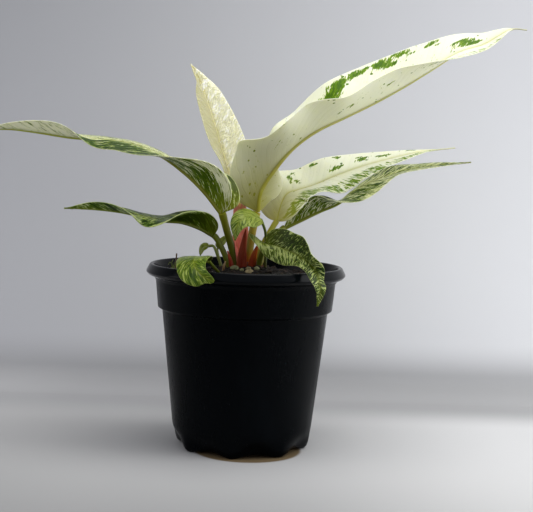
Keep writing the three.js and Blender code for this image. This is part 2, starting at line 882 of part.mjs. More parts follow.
addMesh("crown", geometryOf(largest(crown)), CROWN_SKIN);
addMesh("soil", geometryOf(largest(soil)), SOIL_MIX);

for (const leaf of BLADES) addMesh(leaf.name, bladeGeometry(leaf), leaf.finish);

export default plant;
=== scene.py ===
# %% [markdown]
# # A potted variegated anthurium, dressed in Blender
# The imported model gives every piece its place: a black nursery pot, its soil, eleven leaves on stalks,
# and the papery sheaths round their feet. This lesson keeps those places and makes each piece finer.
# All sizes below are written in millimetres, as a grower would measure them. MM turns them to metres.

import math

import bmesh
import bpy
import numpy as np
from mathutils import Matrix, Vector


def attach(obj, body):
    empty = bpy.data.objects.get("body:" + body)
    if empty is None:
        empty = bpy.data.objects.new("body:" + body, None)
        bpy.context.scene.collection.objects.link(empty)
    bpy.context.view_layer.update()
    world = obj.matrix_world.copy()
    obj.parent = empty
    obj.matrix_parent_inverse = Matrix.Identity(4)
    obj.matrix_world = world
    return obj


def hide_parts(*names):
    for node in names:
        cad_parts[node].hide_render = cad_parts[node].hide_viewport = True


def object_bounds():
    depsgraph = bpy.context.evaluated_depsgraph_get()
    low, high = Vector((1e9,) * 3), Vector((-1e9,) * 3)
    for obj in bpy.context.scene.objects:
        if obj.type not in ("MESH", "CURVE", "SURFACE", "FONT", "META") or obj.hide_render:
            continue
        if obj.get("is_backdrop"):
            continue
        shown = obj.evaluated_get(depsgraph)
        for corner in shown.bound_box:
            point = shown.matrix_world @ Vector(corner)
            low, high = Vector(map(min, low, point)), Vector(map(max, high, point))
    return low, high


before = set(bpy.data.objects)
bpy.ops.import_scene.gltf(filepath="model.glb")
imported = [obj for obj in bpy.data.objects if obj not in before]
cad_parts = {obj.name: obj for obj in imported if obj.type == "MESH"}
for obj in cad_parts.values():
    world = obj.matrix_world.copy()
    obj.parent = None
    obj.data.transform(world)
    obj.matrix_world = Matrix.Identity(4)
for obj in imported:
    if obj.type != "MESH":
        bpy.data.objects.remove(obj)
cad_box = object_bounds()
MM = 0.001
print("nodes in the frame:", len(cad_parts))

# %% [markdown]
# ## Node helpers
# A finish is a formula on the surface, and Blender writes formulas as nodes. A Value stands for the
# output of one node, so that a sum such as 1 - wave * 0.5 can be written as it is read.

# %% Helpers for node trees


class Value:
    """The output of a node. Sums written with it add the nodes that work them out."""

    def __init__(self, socket):
        self.socket = socket

    def __abs__(self):
        return calc("ABSOLUTE", self)

    def __add__(self, other):
        return calc("ADD", self, other)

    def __sub__(self, other):
        return calc("SUBTRACT", self, other)

    def __rsub__(self, other):
        return calc("SUBTRACT", other, self)

    def __mul__(self, other):
        return calc("MULTIPLY", self, other)

    def __truediv__(self, other):
        return calc("DIVIDE", self, other)

    def __pow__(self, other):
        return calc("POWER", self, other)


def tree_of(*values):
    """The node tree that the first Value belongs to."""
    return next(value.socket.id_data for value in values if isinstance(value, Value))


def put(socket, value):
    """Fills a node's input with the output of another node, or with a plain value."""
    if isinstance(value, Value):
        socket.id_data.links.new(value.socket, socket)
    else:
        socket.default_value = value


def new_node(tree, kind, *values, settings=None, named=None):
    """Adds a node. values fill its inputs in order, and named fills inputs by name or number."""
    node = tree.nodes.new(kind)
    for name, option in (settings or {}).items():
        setattr(node, name, option)
    for socket, value in zip(node.inputs, values):
        put(socket, value)
    for name, value in (named or {}).items():
        shown = [s for s in node.inputs if s.name == name and s.enabled]
        put(shown[0] if shown else node.inputs[name], value)
    return node


def add(tree, kind, *values, out=0, **options):
    """Adds a node and gives one of its outputs."""
    return Value(new_node(tree, kind, *values, **options).outputs[out])


def calc(operation, *values):
    return add(tree_of(*values), "ShaderNodeMath", *values, settings={"operation": operation})


def combine(x, y, z):
    return add(tree_of(x, y, z), "ShaderNodeCombineXYZ", x, y, z)


def split(vector):
    return [Value(s) for s in new_node(tree_of(vector), "ShaderNodeSeparateXYZ", vector).outputs]


def tone(red, green, blue):
    """A colour as a screen shows it, 0 to 255, as the linear colour that a shader takes."""
    parts = [c / 255 for c in (red, green, blue)]
    return [c / 12.92 if c <= 0.04045 else ((c + 0.055) / 1.055) ** 2.4 for c in parts] + [1]


def ramp(value, low, high):
    """0 below low, 1 above high, and a soft step between."""
    settings = {"interpolation_type": "SMOOTHSTEP"}
    return add(tree_of(value), "ShaderNodeMapRange", value, low, high, settings=settings)


def ramp_mm(place, low, high):
    """The same step for a place in metres, between two places in millimetres."""
    return ramp(place, low * MM, high * MM)


def blend(factor, first, second):
    """The first colour where the factor is 0, the second where it is 1."""
    ends = {0: factor, 6: first, 7: second}
    tree = tree_of(factor, first, second)
    return add(tree, "ShaderNodeMix", settings={"data_type": "RGBA"}, named=ends, out=2)


def noise(vector, scale, detail, roughness=0.5):
    sizes = {"Scale": scale, "Detail": detail, "Roughness": roughness}
    return add(tree_of(vector), "ShaderNodeTexNoise", vector, named=sizes)


def place_on(tree):
    return add(tree, "ShaderNodeTexCoord", out="Object")


def new_material(name, constants):
    """A material with one Principled shader, whose constants are set on its own sockets."""
    material = bpy.data.materials.new(name)
    material.use_nodes = True
    shader = material.node_tree.nodes["Principled BSDF"]
    for label, value in constants.items():
        shader.inputs[label].default_value = value
    return material, material.node_tree, shader


def plant_skin(roughness, glow, depth, gloss):
    """Constants of a skin that a little light passes into, to a depth in millimetres."""
    light = {"Subsurface Weight": glow, "Subsurface Scale": depth * MM}
    return {"Roughness": roughness, "Specular IOR Level": gloss, **light}


def dress_shader(shader, colour, height, strength, distance):
    """Gives a shader its colour and its bump, whose distance is in millimetres."""
    put(shader.inputs["Base Color"], colour)
    sizes = {"Strength": strength, "Distance": distance * MM, "Height": height}
    put(shader.inputs["Normal"], add(shader.id_data, "ShaderNodeBump", named=sizes))


def new_object(name, data):
    made = bpy.data.objects.new(name, data)
    bpy.context.scene.collection.objects.link(made)
    return made


print("node helpers ready")

# %% [markdown]
# ## The studio
# The real pot stands on an off-white sheet that runs up into a grey wall a hand's width behind it. The
# light is wide and soft and comes from above and behind, so the pot's front stays nearly black. One
# curved sheet makes floor and wall, and its colour holds painted light and shade: the floor is darker to
# the left and the front, the wall's foot has a painted shade, and the wall is lighter to the right and low
# down. Its back is see-through, so that the plant can be seen from there.

# %% The sheet that is floor and wall
FLOOR_FRONT = -1500
FLOOR_MIDDLE = -300
SWEEP_START = 150
SWEEP_RADIUS = 22
SWEEP_STEPS = 12
WALL_TOP = 1600
SHEET_HALF = 1900
SHEET_DROP = 0.2
BROWN_DISC_PLACE = (4, -14, 0)
BROWN_DISC_RADIUS = 35
BROWN_DISC_EDGE = 3
# Each pair is the tone at the left and the one at the right. The tones hold painted light and shade:
# darker to the left, at the front and at the wall's foot, lighter to the right and low on the wall.
STUDIO_LIGHT_AND_SHADE_TONES = {
    "floor_near": ((112, 112, 111), (170, 170, 168)),
    "floor_far": ((172, 172, 171), (202, 202, 201)),
    "wall_foot_shade": ((150, 150, 151), (156, 156, 156)),
    "wall_low": ((185, 186, 189), (228, 229, 230)),
    "wall_high": ((137, 138, 141), (182, 183, 186)),
}
CLOUD_TONE = (240, 240, 238)
BROWN_DISC_TONE = (104, 88, 62)


def stage_mesh():
    profile = [(FLOOR_FRONT, 0), (FLOOR_MIDDLE, 0), (SWEEP_START, 0)]
    for step in range(1, SWEEP_STEPS + 1):
        angle = math.pi / 2 * step / SWEEP_STEPS
        profile.append((SWEEP_START + SWEEP_RADIUS * math.sin(angle), SWEEP_RADIUS * (1 - math.cos(angle))))
    profile.append((SWEEP_START + SWEEP_RADIUS, WALL_TOP))
    sides = (-SHEET_HALF, SHEET_HALF)
    points = [(x * MM, y * MM, (z - SHEET_DROP) * MM) for y, z in profile for x in sides]
    faces = [(2 * k, 2 * k + 1, 2 * k + 3, 2 * k + 2) for k in range(len(profile) - 1)]
    mesh = bpy.data.meshes.new("studio_sheet")
    mesh.from_pydata(points, [], faces)
    mesh.polygons.foreach_set("use_smooth", [True] * len(faces))
    return mesh


def studio_tone(part, to_right):
    left, right = STUDIO_LIGHT_AND_SHADE_TONES[part]
    return blend(to_right, tone(*left), tone(*right))


def floor_tones(place, x, y, right):
    """Painted light: lighter to the back and the window; painted shade at the wall's foot; a brown disc under
    the pot.
    """
    # Painted light and shade: the floor is darker at the front and to the left, and lighter towards the
    # window.
    window_side = ramp_mm(x, 0, 200)
    near, far = (studio_tone(part, window_side) for part in ("floor_near", "floor_far"))
    colour = blend(ramp_mm(y, -280, 40), near, far)
    # Painted shade along the wall's foot.
    colour = blend(ramp_mm(y, 70, 140), colour, studio_tone("wall_foot_shade", right))
    clouds = ramp(noise(place, scale=2.2, detail=2), 0.35, 0.65)
    colour = blend(clouds * 0.12, colour, tone(*CLOUD_TONE))
    # A brown disc on the floor under the pot, darker than the floor round it.
    middle = [c * MM for c in BROWN_DISC_PLACE]
    settings = {"operation": "DISTANCE"}
    distance = add(tree_of(place), "ShaderNodeVectorMath", place, middle, settings=settings, out="Value")
    brown_disc = 1 - ramp_mm(distance, BROWN_DISC_RADIUS, BROWN_DISC_RADIUS + BROWN_DISC_EDGE)
    return blend(brown_disc, colour, tone(*BROWN_DISC_TONE))


def paper_finish():
    material, tree, shader = new_material("studio_paper", {"Roughness": 0.9, "Specular IOR Level": 0.2})
    place = place_on(tree)
    x, y, z = split(place)
    right = ramp_mm(x, -280, 300)
    # Painted light on the wall: lighter to the right and low down, darker high up.
    wall = blend(ramp_mm(z, 0, 550), studio_tone("wall_low", right), studio_tone("wall_high", right))
    colour = blend(ramp_mm(z, 6, 50), floor_tones(place, x, y, right), wall)
    put(shader.inputs["Base Color"], colour)
    behind = add(tree, "ShaderNodeNewGeometry", out="Backfacing")
    clear = add(tree, "ShaderNodeBsdfTransparent")
    mixed = add(tree, "ShaderNodeMixShader", behind, Value(shader.outputs[0]), clear)
    put(tree.nodes["Material Output"].inputs["Surface"], mixed)
    return material


sheet_mesh = stage_mesh()
sheet_mesh.materials.append(paper_finish())
sheet = new_object("studio_sheet", sheet_mesh)
sheet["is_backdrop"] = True
print("studio sheet faces:", len(sheet_mesh.polygons))

# %% Camera and lights
PHOTO_WIDTH = 533
PHOTO_MIDDLE = (266.5, 256)
CAMERA_PLACE = (13.6, -800, 194.8)
CAMERA_DIP = 4.6
CAMERA_ROLL = 1.72
PIXELS_PER_MM = 1.4724
FOCAL_PIXELS = -CAMERA_PLACE[1] * PIXELS_PER_MM
SENSOR_WIDTH = 36


def photo_camera():
    data = bpy.data.cameras.new("photo_camera")
    data.sensor_width = SENSOR_WIDTH
    data.lens = FOCAL_PIXELS * SENSOR_WIDTH / PHOTO_WIDTH
    data.clip_start = 10 * MM
    camera = new_object("photo_camera", data)
    turn = Matrix.Rotation(math.radians(90 - CAMERA_DIP), 4, "X")
    roll = Matrix.Rotation(math.radians(CAMERA_ROLL), 4, "Z")
    camera.matrix_world = Matrix.Translation(Vector(CAMERA_PLACE) * MM) @ turn @ roll
    bpy.context.scene.camera = camera
    return data


def area_light(name, place, target, size, power, colour):
    data = bpy.data.lights.new(name, "AREA")
    data.shape = "RECTANGLE"
    data.size, data.size_y = size[0] * MM, size[1] * MM
    data.energy = power
    data.color = colour
    aim = (Vector(target) - Vector(place)).to_track_quat("-Z", "Y").to_matrix().to_4x4()
    new_object(name, data).matrix_world = Matrix.Translation(Vector(place) * MM) @ aim


def studio_air(colour, strength):
    world = bpy.data.worlds.new("studio_air")
    bpy.context.scene.world = world
    world.use_nodes = True
    background = world.node_tree.nodes["Background"]
    background.inputs["Color"].default_value = colour
    background.inputs["Strength"].default_value = strength


lens = photo_camera().lens
area_light("overhead", (160, 40, 900), (20, 0, 100), size=(1100, 700), power=8.8, colour=(1, 0.99, 0.97))
area_light("right_window", (900, -150, 420), (0, 0, 150), size=(500, 700), power=4, colour=(0.96, 0.98, 1))
area_light("left_bounce", (-900, -250, 300), (0, 0, 120), size=(600, 600), power=1.35, colour=(1, 0.98, 0.96))
studio_air(tone(196, 197, 205), strength=1.15)
bpy.context.scene.view_settings.view_transform = "Standard"
print("camera lens:", round(lens, 1), "mm")

# %% [markdown]
# ## Leaf blades
# A blade is a strap on a midrib. The midrib arches out of the pot, and each half of the blade stands up
# or hangs from it by its own angle, which changes along the leaf: that makes the folds and twists of the
# real leaves. So each blade is a short table of places on its midrib, and one rule turns a table into
# a fine sheet. A curve object could carry the midrib, but the two free halves need the rule.

# %% The leaf rule
TIP_HALF = 0.5
LOBE_LENGTH = 0.3
RIB_STEP = 0.002
END_CROWDING = 0.4


def along(values, t):
    """A smooth line through the rows of a table, read at t from 0 to 1."""
    values = np.asarray(values, float)
    if values.ndim == 1:
        values = values[:, None]
    table = np.vstack([2 * values[0] - values[1], values, 2 * values[-1] - values[-2]])
    place = np.asarray(t, float) * (len(values) - 1)
    k = np.minimum(place.astype(int), len(values) - 2)
    f = (place - k)[:, None]
    v0, v1, v2, v3 = (table[k + n] for n in range(4))
    return cubic(v1, v2, (v2 - v0) / 2, (v3 - v1) / 2, f)


def cubic(start, end, slope1, slope2, f):
    """The curve from start to end that leaves with the first slope and arrives with the second."""
    bend = 2 * start - 2 * end + slope1 + slope2
    lean = 3 * end - 3 * start - 2 * slope1 - slope2
    return start + f * (slope1 + f * (lean + f * bend))


def unit(vectors):
    return vectors / np.maximum(np.linalg.norm(vectors, axis=-1, keepdims=True), 1e-12)


def run_along(points):
    """How far along a line each of its points lies."""
    return np.concatenate([[0], np.linalg.norm(np.diff(points, axis=0), axis=1).cumsum()])


def rib_frame(leaf, t):
    """The midrib's place and its three directions: along it, to the left, and up out of the blade."""
    rib = np.array(leaf["rib"], float)
    centre = along(rib[:, :3], t)
    ahead = along(rib[:, :3], np.minimum(t + RIB_STEP, 1))
    tangent = unit(ahead - along(rib[:, :3], np.maximum(t - RIB_STEP, 0)))
    across = np.array(leaf["across"], float)
    left = unit(across - (tangent @ across)[:, None] * tangent)
    return centre, tangent, left, np.cross(tangent, left)


def half_width(leaf, t, side):
    """Half of the blade's width in millimetres, from the stalk's end at t 0 to the tip at 1."""
    which = 0 if side > 0 else 1
    u = np.minimum(t / leaf.get("reach", 1), 1)
    rise = leaf.get("rise", (0, 0))[which]
    peak = rise / (rise + leaf["fall"])
    swell = 1 if rise == 0 else (u / peak) ** rise
    shape = swell * ((1 - u) / (1 - peak)) ** leaf["fall"]
    full = leaf["half"][which] * shape
    for wave_side, place, size, spread in leaf.get("waves", []):
        if wave_side == side:
            full = full + size * np.exp(-(((t - place) / spread) ** 2))
    return np.maximum(full, TIP_HALF)


def half_sheet(leaf, t, side, v):
    """Points of one half of a blade, one row for each t and one column for each v from rib to margin."""
    which = 0 if side > 0 else 1
    rib = np.array(leaf["rib"], float)
    centre, tangent, left, up = (part[:, None, :] for part in rib_frame(leaf, t))
    lift = np.radians(along(rib[:, 3 + which], t))
    width = half_width(leaf, t, side)[:, None]
    reach = v[None, :] * width
    sweep = leaf.get("lobe", (0, 0))[which] * np.maximum(0, 1 - t / LOBE_LENGTH)[:, None] ** 2
    back = sweep * reach / leaf["half"][which] - leaf.get("notch", 0) * v[None, :] * t[:, None] ** 6
    out = side * left * np.cos(lift)[:, None]
    rise = up * np.sin(lift)[:, None]
    return centre + (out + rise) * reach[..., None] - tangent * back[..., None]


def fine_rows(count):
    """Shares from 0 to 1, closer together near both ends."""
    even = np.arange(count + 1) / count
    return (1 - END_CROWDING) * even + END_CROWDING * (0.5 - 0.5 * np.cos(np.pi * even))


print("leaf rule ready")

# %% The blades, one table each
# A pick is pixels across and down the photo and a chosen y in millimetres, then the angles
# of the left and the right half. A rib row has x, y and z for the first three. Both are as in part.mjs.
# half is the widest of each half in millimetres, and rise and fall are the powers that shape it. lobe
# draws the base of each half back, reach is where the width ends, and a wave is its side, its place
# along, its size in millimetres and its spread.
BLADES = {
    "blade_a": {
        "across": [0, -1, 0], "half": [24, 24], "rise": [0.35, 0.35], "fall": 1, "lobe": [1, 10],
        "picks": [
            [222, 213, -15.5, 54, 84],
            [205, 191, -13, 56, 62],
            [183.5, 170.5, -8, 14, 10],
            [158, 153, -1, -14, 2],
            [130, 143, 7, -18, 3],
            [100, 139, 13, -15, 6],
            [70, 137, 17, 28, 10],
            [40, 132.5, 20, 50, 20],
            [10, 129, 22, 50, 30],
            [-20, 129.5, 23, 30, 30],
        ],
    },
    "blade_b": {
        "across": [0, -1, 0], "half": [15, 15], "rise": [0.4, 0.4], "fall": 1, "lobe": [1, 3],
        "picks": [
            [213.5, 235.5, -10, 66, 64],
            [200, 228, -14, 62, 50],
            [182, 222, -18, 34, 22],
            [163, 220.5, -22, 4, 8],
            [143, 216.5, -26, -24, 6],
            [122, 212, -30, 14, 12],
            [100, 209.5, -33, 42, 14],
            [82, 208.5, -36, 54, 30],
            [64, 208, -38, 30, 30],
        ],
    },
    "blade_c": {
        "across": [-1, -0.3, 0], "half": [17.5, 18.5], "rise": [0.45, 0.45], "fall": 1.1, "lobe": [2, 2],
        "picks": [
            [238, 200, 15, 50, 20],
            [229, 173, 20, 60, 14],
            [222, 150, 25, 50, 8],
            [214, 122, 30, 42, 4],
            [205, 95, 35, 40, 4],
            [199, 80, 38, 52, 6],
            [191, 64, 40, 30, 10],
        ],
    },
    "blade_d": {
        "across": [0, 1, 0], "half": [31, 33], "rise": [0.7, 0.45], "fall": 0.8,
        "reach": 0.925, "lobe": [0, -8],
        "waves": [[-1, 0.218, -8, 0.034], [-1, 0.172, 2, 0.018]],
        "picks": [
            [257, 212, -3, -47, 94],
            [260, 192, -2.5, -47, 94],
            [273, 171, -1, -26, 80],
            [291, 149, 2, 39, 32],
            [315, 131, 6, 40, 32],
            [345, 116.5, 10, 60, 20],
            [375, 102, 13, 61, 25],
            [405, 85.5, 14, 57, 25],
            [432, 69, 13, 52, 10],
            [458, 53, 12, 44, -13],
            [485, 44, 10, 42, -21],
            [511, 29.5, 8, 30, -10],
            [527, 29.5, 7, 10, 10],
        ],
    },
    "blade_e": {
        "across": [-0.7, 0.7, 0], "half": [21, 20], "rise": [0.4, 0.4], "fall": 1,
        "reach": 0.93, "lobe": [0, 1],
        "picks": [
            [277, 221, 10, 10, -6],
            [281, 205, 12, 26, -10],
            [287, 194, 16, 44, -14],
            [298, 190, 21, 36, -4],
            [314, 185, 27, 31, -6],
            [335, 176, 33, 40, -33],
            [360, 167, 39, 31, -21],
            [385, 160, 44, 25, -15],
            [410, 154, 49, 18, -12],
            [433, 150, 53, 10, 0],
            [455, 147.5, 56, 0, 0],
        ],
    },
    "blade_f": {
        "across": [0, 1, 0], "half": [16, 17], "rise": [0.8, 0.8], "fall": 1,
        "picks": [
            [284, 227.5, 14, 50, 66],
            [300, 220, 15.5, 54, 76],
            [320, 210.5, 15, 50, 56],
            [337, 203.5, 13, 2, 15],
            [352, 192.5, 12, 0, -24],
            [370, 182.5, 13, 8, -26],
            [395, 174, 14, 25, -3],
            [420, 168, 14, 16, -5],
            [445, 165, 13, 18, -5],
            [471, 162, 12, 0, 0],
        ],
    },
    "blade_g": {
        "across": [0.4, -0.9, 0], "half": [9, 9], "rise": [0.4, 0.4], "fall": 0.8,
        "picks": [
            [261, 219.5, -18, -20, 30],
            [252, 216.5, -23, -48, 32],
            [243, 218.5, -28, -52, 28],
            [237, 226.5, -31, -34, 26],
            [235, 240.5, -32, -10, 10],
        ],
    },
    "blade_h": {
        "across": [0.85, 0.5, 0], "half": [11.5, 10.5], "rise": [0.3, 0.3], "fall": 0.9, "lobe": [0, 9],
        "waves": [
            [1, 0.74, -2.6, 0.07], [1, 0.42, 2.2, 0.12], [1, 0.2, 1.4, 0.08],
            [-1, 0.035, 5, 0.035], [-1, 0.5, -2, 0.14],
        ],
        "picks": [
            [265.5, 246.5, -20, 84, 80],
            [274.5, 245.5, -24, 84, -34],
            [286, 250, -31, 80, -60],
            [297, 255, -40, 84, -50],
            [307, 261.5, -50, 98, -28],
            [315, 269, -59, 104, -24],
            [318.5, 280, -66, 8, -15],
            [320, 291.5, -71, 30, 0],
            [317.5, 306.5, -73, 20, 0],
        ],
    },
    "blade_i": {
        "across": [1, 0, 0], "half": [8, 12], "rise": [0.35, 0.35], "fall": 0.6,
        "waves": [[-1, 0.78, 2.4, 0.14], [-1, 0.92, -2.4, 0.05]],
        "picks": [
            [208, 261, -28, 10, 10],
            [201, 257, -38, 4, 0],
            [196.5, 257.5, -50, 0, -6],
            [194, 261, -61, 0, -14],
            [195, 267.5, -70, 0, -18],
            [201, 275, -75, 0, -8],
            [214, 281.5, -76, 0, 0],
        ],
    },
    "blade_j": {
        "across": [0, -1, 0], "half": [4.6, 4.6], "rise": [0.4, 0.4], "fall": 0.6,
        "rib": [
            [-26.4, 4, 135.6, -30, 30],
            [-30.4, 5, 134.4, -30, 30],
            [-32, 5, 129, -20, 20],
        ],
    },
    "blade_k": {
        "across": [-0.6, 0.6, 0], "half": [4, 4], "rise": [0.4, 0.4], "fall": 0.7,
        "rib": [
            [-20, 10, 134, 30, 10],
            [-17, 12, 138, 30, 10],
            [-14, 14, 143, 20, 10],
        ],
    },
}


def placed(across, down, depth):
    """The point in millimetres that the photo shows at a pixel, at a depth behind the pot's axis."""
    roll, dip = math.radians(CAMERA_ROLL), math.radians(CAMERA_DIP)
    right, rise = across - PHOTO_MIDDLE[0], PHOTO_MIDDLE[1] - down
    level = right * math.cos(roll) - rise * math.sin(roll)
    upright = right * math.sin(roll) + rise * math.cos(roll)
    ahead = FOCAL_PIXELS * math.cos(dip) + upright * math.sin(dip)
    reach = (depth - CAMERA_PLACE[1]) / ahead
    height = upright * math.cos(dip) - FOCAL_PIXELS * math.sin(dip)
    return [CAMERA_PLACE[0] + reach * level, depth, CAMERA_PLACE[2] + reach * height]


for leaf in BLADES.values():
    if "picks" in leaf:
        leaf["rib"] = [[*placed(*pick[:3]), *pick[3:]] for pick in leaf["picks"]]

print("blades:", len(BLADES))

# %% Where each blade is green
# Placed on the photo, as shares: 0 to 1 along the midrib, -1 to 1 across, the left half above 0.
# A zone is from, to, inner, outer and level. A blotch is its place along in millimetres, its share
# across, its length in millimetres and its share of width.
MARKS = {
    "blade_a": {"ground": 0.52, "zones": [
        (0.05, 0.22, -0.1, 0.6, 0.85),
        (0, 0.1, 0.6, 1, 0.2),
        (0, 0.1, -1, -0.5, 0.8),
        (0.25, 0.6, 0.2, 1, 0.85),
        (0.3, 0.6, -0.6, 0, 0.3),
        (0.6, 0.75, -1, 1, 0.2),
        (0.75, 1, -1, 1, 0.22),
    ]},
    "blade_b": {"ground": 0.6, "zones": [
        (0.1, 0.4, 0, 0.8, 0.9),
        (0, 0.15, -1, -0.4, 0.05),
        (0.1, 0.4, 0.9, 1, 0.1),
        (0.5, 0.6, 0.6, 1, 0.35),
        (0.6, 1, -1, 1, 0.65),
    ]},
    "blade_c": {"ground": 0},
    "blade_d": {"ground": 0.12, "zones": [(0.6, 0.85, -1, -0.6, 0.45)], "blotches": [
        (96, 0.63, 8, 0.2),
        (103, 0.75, 3, 0.08),
        (116, 0.85, 6, 0.06),
        (131, 0.86, 6, 0.12),
        (145, 0.88, 5, 0.07),
        (165, 0.88, 4, 0.1),
        (181, 0.4, 5, 0.2),
        (187, 0.32, 5, 0.1),
        (93, -0.35, 1, 0.04),
        (100, -0.45, 1.5, 0.05),
        (128, -0.5, 2, 0.05),
    ]},
    "blade_e": {"ground": 0.12, "zones": [
        (0, 0.35, -1, -0.4, 0.55),
        (0.35, 0.9, -1, -0.4, 0.5),
    ], "blotches": [
        (26, 0.85, 1, 0.05),
        (30, 0.45, 2, 0.08),
        (45, 0.4, 2, 0.08),
        (47, 0.65, 2, 0.08),
        (51, 0.35, 1.5, 0.06),
        (53, 0.8, 1.5, 0.06),
        (70, 0.85, 1.5, 0.06),
        (81, 0.35, 3, 0.1),
        (85, 0.85, 1.5, 0.06),
        (96, 0.5, 3, 0.12),
        (109, 0.45, 3, 0.1),
        (126, 0.8, 3, 0.12),
    ]},
    "blade_f": {"ground": 0.5, "zones": [
        (0.1, 0.55, -1, 0, 0.6),
        (0.1, 0.3, 0, 0.4, 0.25),
        (0.4, 0.55, -1, -0.8, 0.2),
        (0.8, 1, -1, 0, 0.75),
    ], "blotches": [
        (61, -0.8, 4, 0.18),
        (55, -0.55, 3, 0.1),
        (56, -0.9, 2.5, 0.07),
    ]},
    "blade_g": {"ground": 0.45, "zones": [(0.6, 1, -1, 1, 0.55)]},
    "blade_h": {"ground": 0.6, "zones": [
        (0, 0.5, 0.3, 1, 0.8),
        (0, 0.4, -0.5, 0, 0.45),
        (0.6, 1, -1, 1, 0.6),
    ]},
    "blade_i": {"ground": 0.65, "zones": [(0.6, 0.9, -0.7, 1, 0.75)]},
    "blade_j": {"ground": 0.4},
    "blade_k": {"ground": 0.4},
}
print("marked leaves:", len(MARKS))

# %% From a sheet to a blade
THICKNESS = 0.7
MARGIN_THICKNESS = 0.35
LEAN = 0.12
ZONE_EDGE_ALONG = 0.08
ZONE_EDGE_ACROSS = 0.25
BLOTCH_SEED = 5
BLOTCH_LEVEL = 0.85
SPLASHES = 3
SPLASH_LEVEL = 0.8
SPLASH_SHIFT = 1.4
SPLASH_LENGTH = 0.6
SPLASH_WIDTH = 0.5
LENGTH_SAMPLES = 200
FEWEST_ROWS = 12


def sheet_mesh_of(name, leaf, length_step, columns):
    """One half beside the other, with what the finish reads: millimetres along and across, and paint."""
    rib = np.array(leaf["rib"], float)[:, :3]
    long = run_along(along(rib, np.linspace(0, 1, LENGTH_SAMPLES)))[-1]
    rows = max(FEWEST_ROWS, int(long / length_step))
    t = fine_rows(rows)
    v = np.linspace(0, 1, columns + 1)
    grid = np.concatenate([half_sheet(leaf, t, -1, v[:0:-1]), half_sheet(leaf, t, 1, v)], axis=1)
    wide = 2 * columns + 1
    numbers = np.arange((rows + 1) * wide).reshape(rows + 1, wide)
    corners = (numbers[:-1, :-1], numbers[1:, :-1], numbers[1:, 1:], numbers[:-1, 1:])
    faces = np.stack([c.ravel() for c in corners], axis=1)
    mesh = bpy.data.meshes.new(name)
    mesh.from_pydata((grid.reshape(-1, 3) * MM).tolist(), [], faces.tolist())
    mesh.polygons.foreach_set("use_smooth", [True] * len(faces))
    signed = np.concatenate([-v[:0:-1], v])[None, :]
    widths = np.where(signed < 0, half_width(leaf, t, -1)[:, None], half_width(leaf, t, 1)[:, None])
    values = {
        "along_rib": np.broadcast_to(run_along(along(rib, t))[:, None], widths.shape),
        "across": widths * signed,
        "to_margin": np.broadcast_to(np.abs(signed), widths.shape),
        "paint": painted(leaf, t[:, None], signed, long),
    }
    for attribute, numbers in values.items():
        made = mesh.attributes.new(attribute, "FLOAT", "POINT")
        made.data.foreach_set("value", np.ascontiguousarray(numbers, dtype=np.float32).ravel())
    return mesh


def within(places, start, end, softness):
    """1 between start and end, falling softly to 0 outside them."""
    rise = np.clip((places - start) / softness + 0.5, 0, 1)
    fall = np.clip((end - places) / softness + 0.5, 0, 1)
    return rise * rise * (3 - 2 * rise) * fall * fall * (3 - 2 * fall)


def torn(blotch, draw):
    """A blotch and the smaller splashes strewn round it, which make its outline ragged."""
    middle, side, length, width = blotch
    parts = [(*blotch, BLOTCH_LEVEL)]
    for _ in range(SPLASHES):
        shift, slide = draw.uniform(-SPLASH_SHIFT, SPLASH_SHIFT, 2)
        place = (middle + shift * length, side + slide * width)
        parts.append((*place, SPLASH_LENGTH * length, SPLASH_WIDTH * width, SPLASH_LEVEL))
    return parts


def painted(leaf, t, signed, long):
    """How green the leaf is, 0 to 1: its ground, then its zones, then its blotches."""
    marks = leaf.get("marks", {"ground": 0.5})
    leaning = t - LEAN * np.abs(signed)
    field = np.full(leaning.shape, marks["ground"], float)
    for start, end, inner, outer, level in marks.get("zones", []):
        weight = within(leaning, start - LEAN / 2, end - LEAN / 2, ZONE_EDGE_ALONG)
        weight = weight * within(signed, inner, outer, ZONE_EDGE_ACROSS)
        field = field * (1 - weight) + level * weight
    draw = np.random.default_rng(BLOTCH_SEED)
    for blotch in marks.get("blotches", []):
        for middle, side, length, width, level in torn(blotch, draw):
            shifted = leaning + LEAN * abs(side) - middle / long
            weight = np.exp(-((shifted * long / length) ** 2 + ((signed - side) / width) ** 2))
            field = field * (1 - weight) + level * weight
    return field


print("blade maker ready")

# %% Geometry Nodes helpers


def new_tree(name, inputs):
    """A Geometry Nodes tree with a Geometry input and the named inputs, as (kind, start value)."""
    tree = bpy.data.node_groups.new(name, "GeometryNodeTree")
    tree.interface.new_socket("Geometry", in_out="INPUT", socket_type="NodeSocketGeometry")
    for label, (kind, start) in inputs.items():
        socket = tree.interface.new_socket(label, in_out="INPUT", socket_type="NodeSocket" + kind)
        if start is not None:
            socket.default_value = start
    tree.interface.new_socket("Geometry", in_out="OUTPUT", socket_type="NodeSocketGeometry")
    given = tree.nodes.new("NodeGroupInput").outputs
    return tree, {socket.name: Value(socket) for socket in given}


def close_tree(tree, geometry, material):
    """Every tree ends the same way: copies made real, then the finish."""
    real = add(tree, "GeometryNodeRealizeInstances", geometry)
    dressed = add(tree, "GeometryNodeSetMaterial", real, named={"Material": material})
    put(tree.nodes.new("NodeGroupOutput").inputs[0], dressed)


def finished_mesh(piece):
    """The piece's mesh as its modifiers leave it."""
    graph = bpy.context.evaluated_depsgraph_get()
    return bpy.data.meshes.new_from_object(piece.evaluated_get(graph))


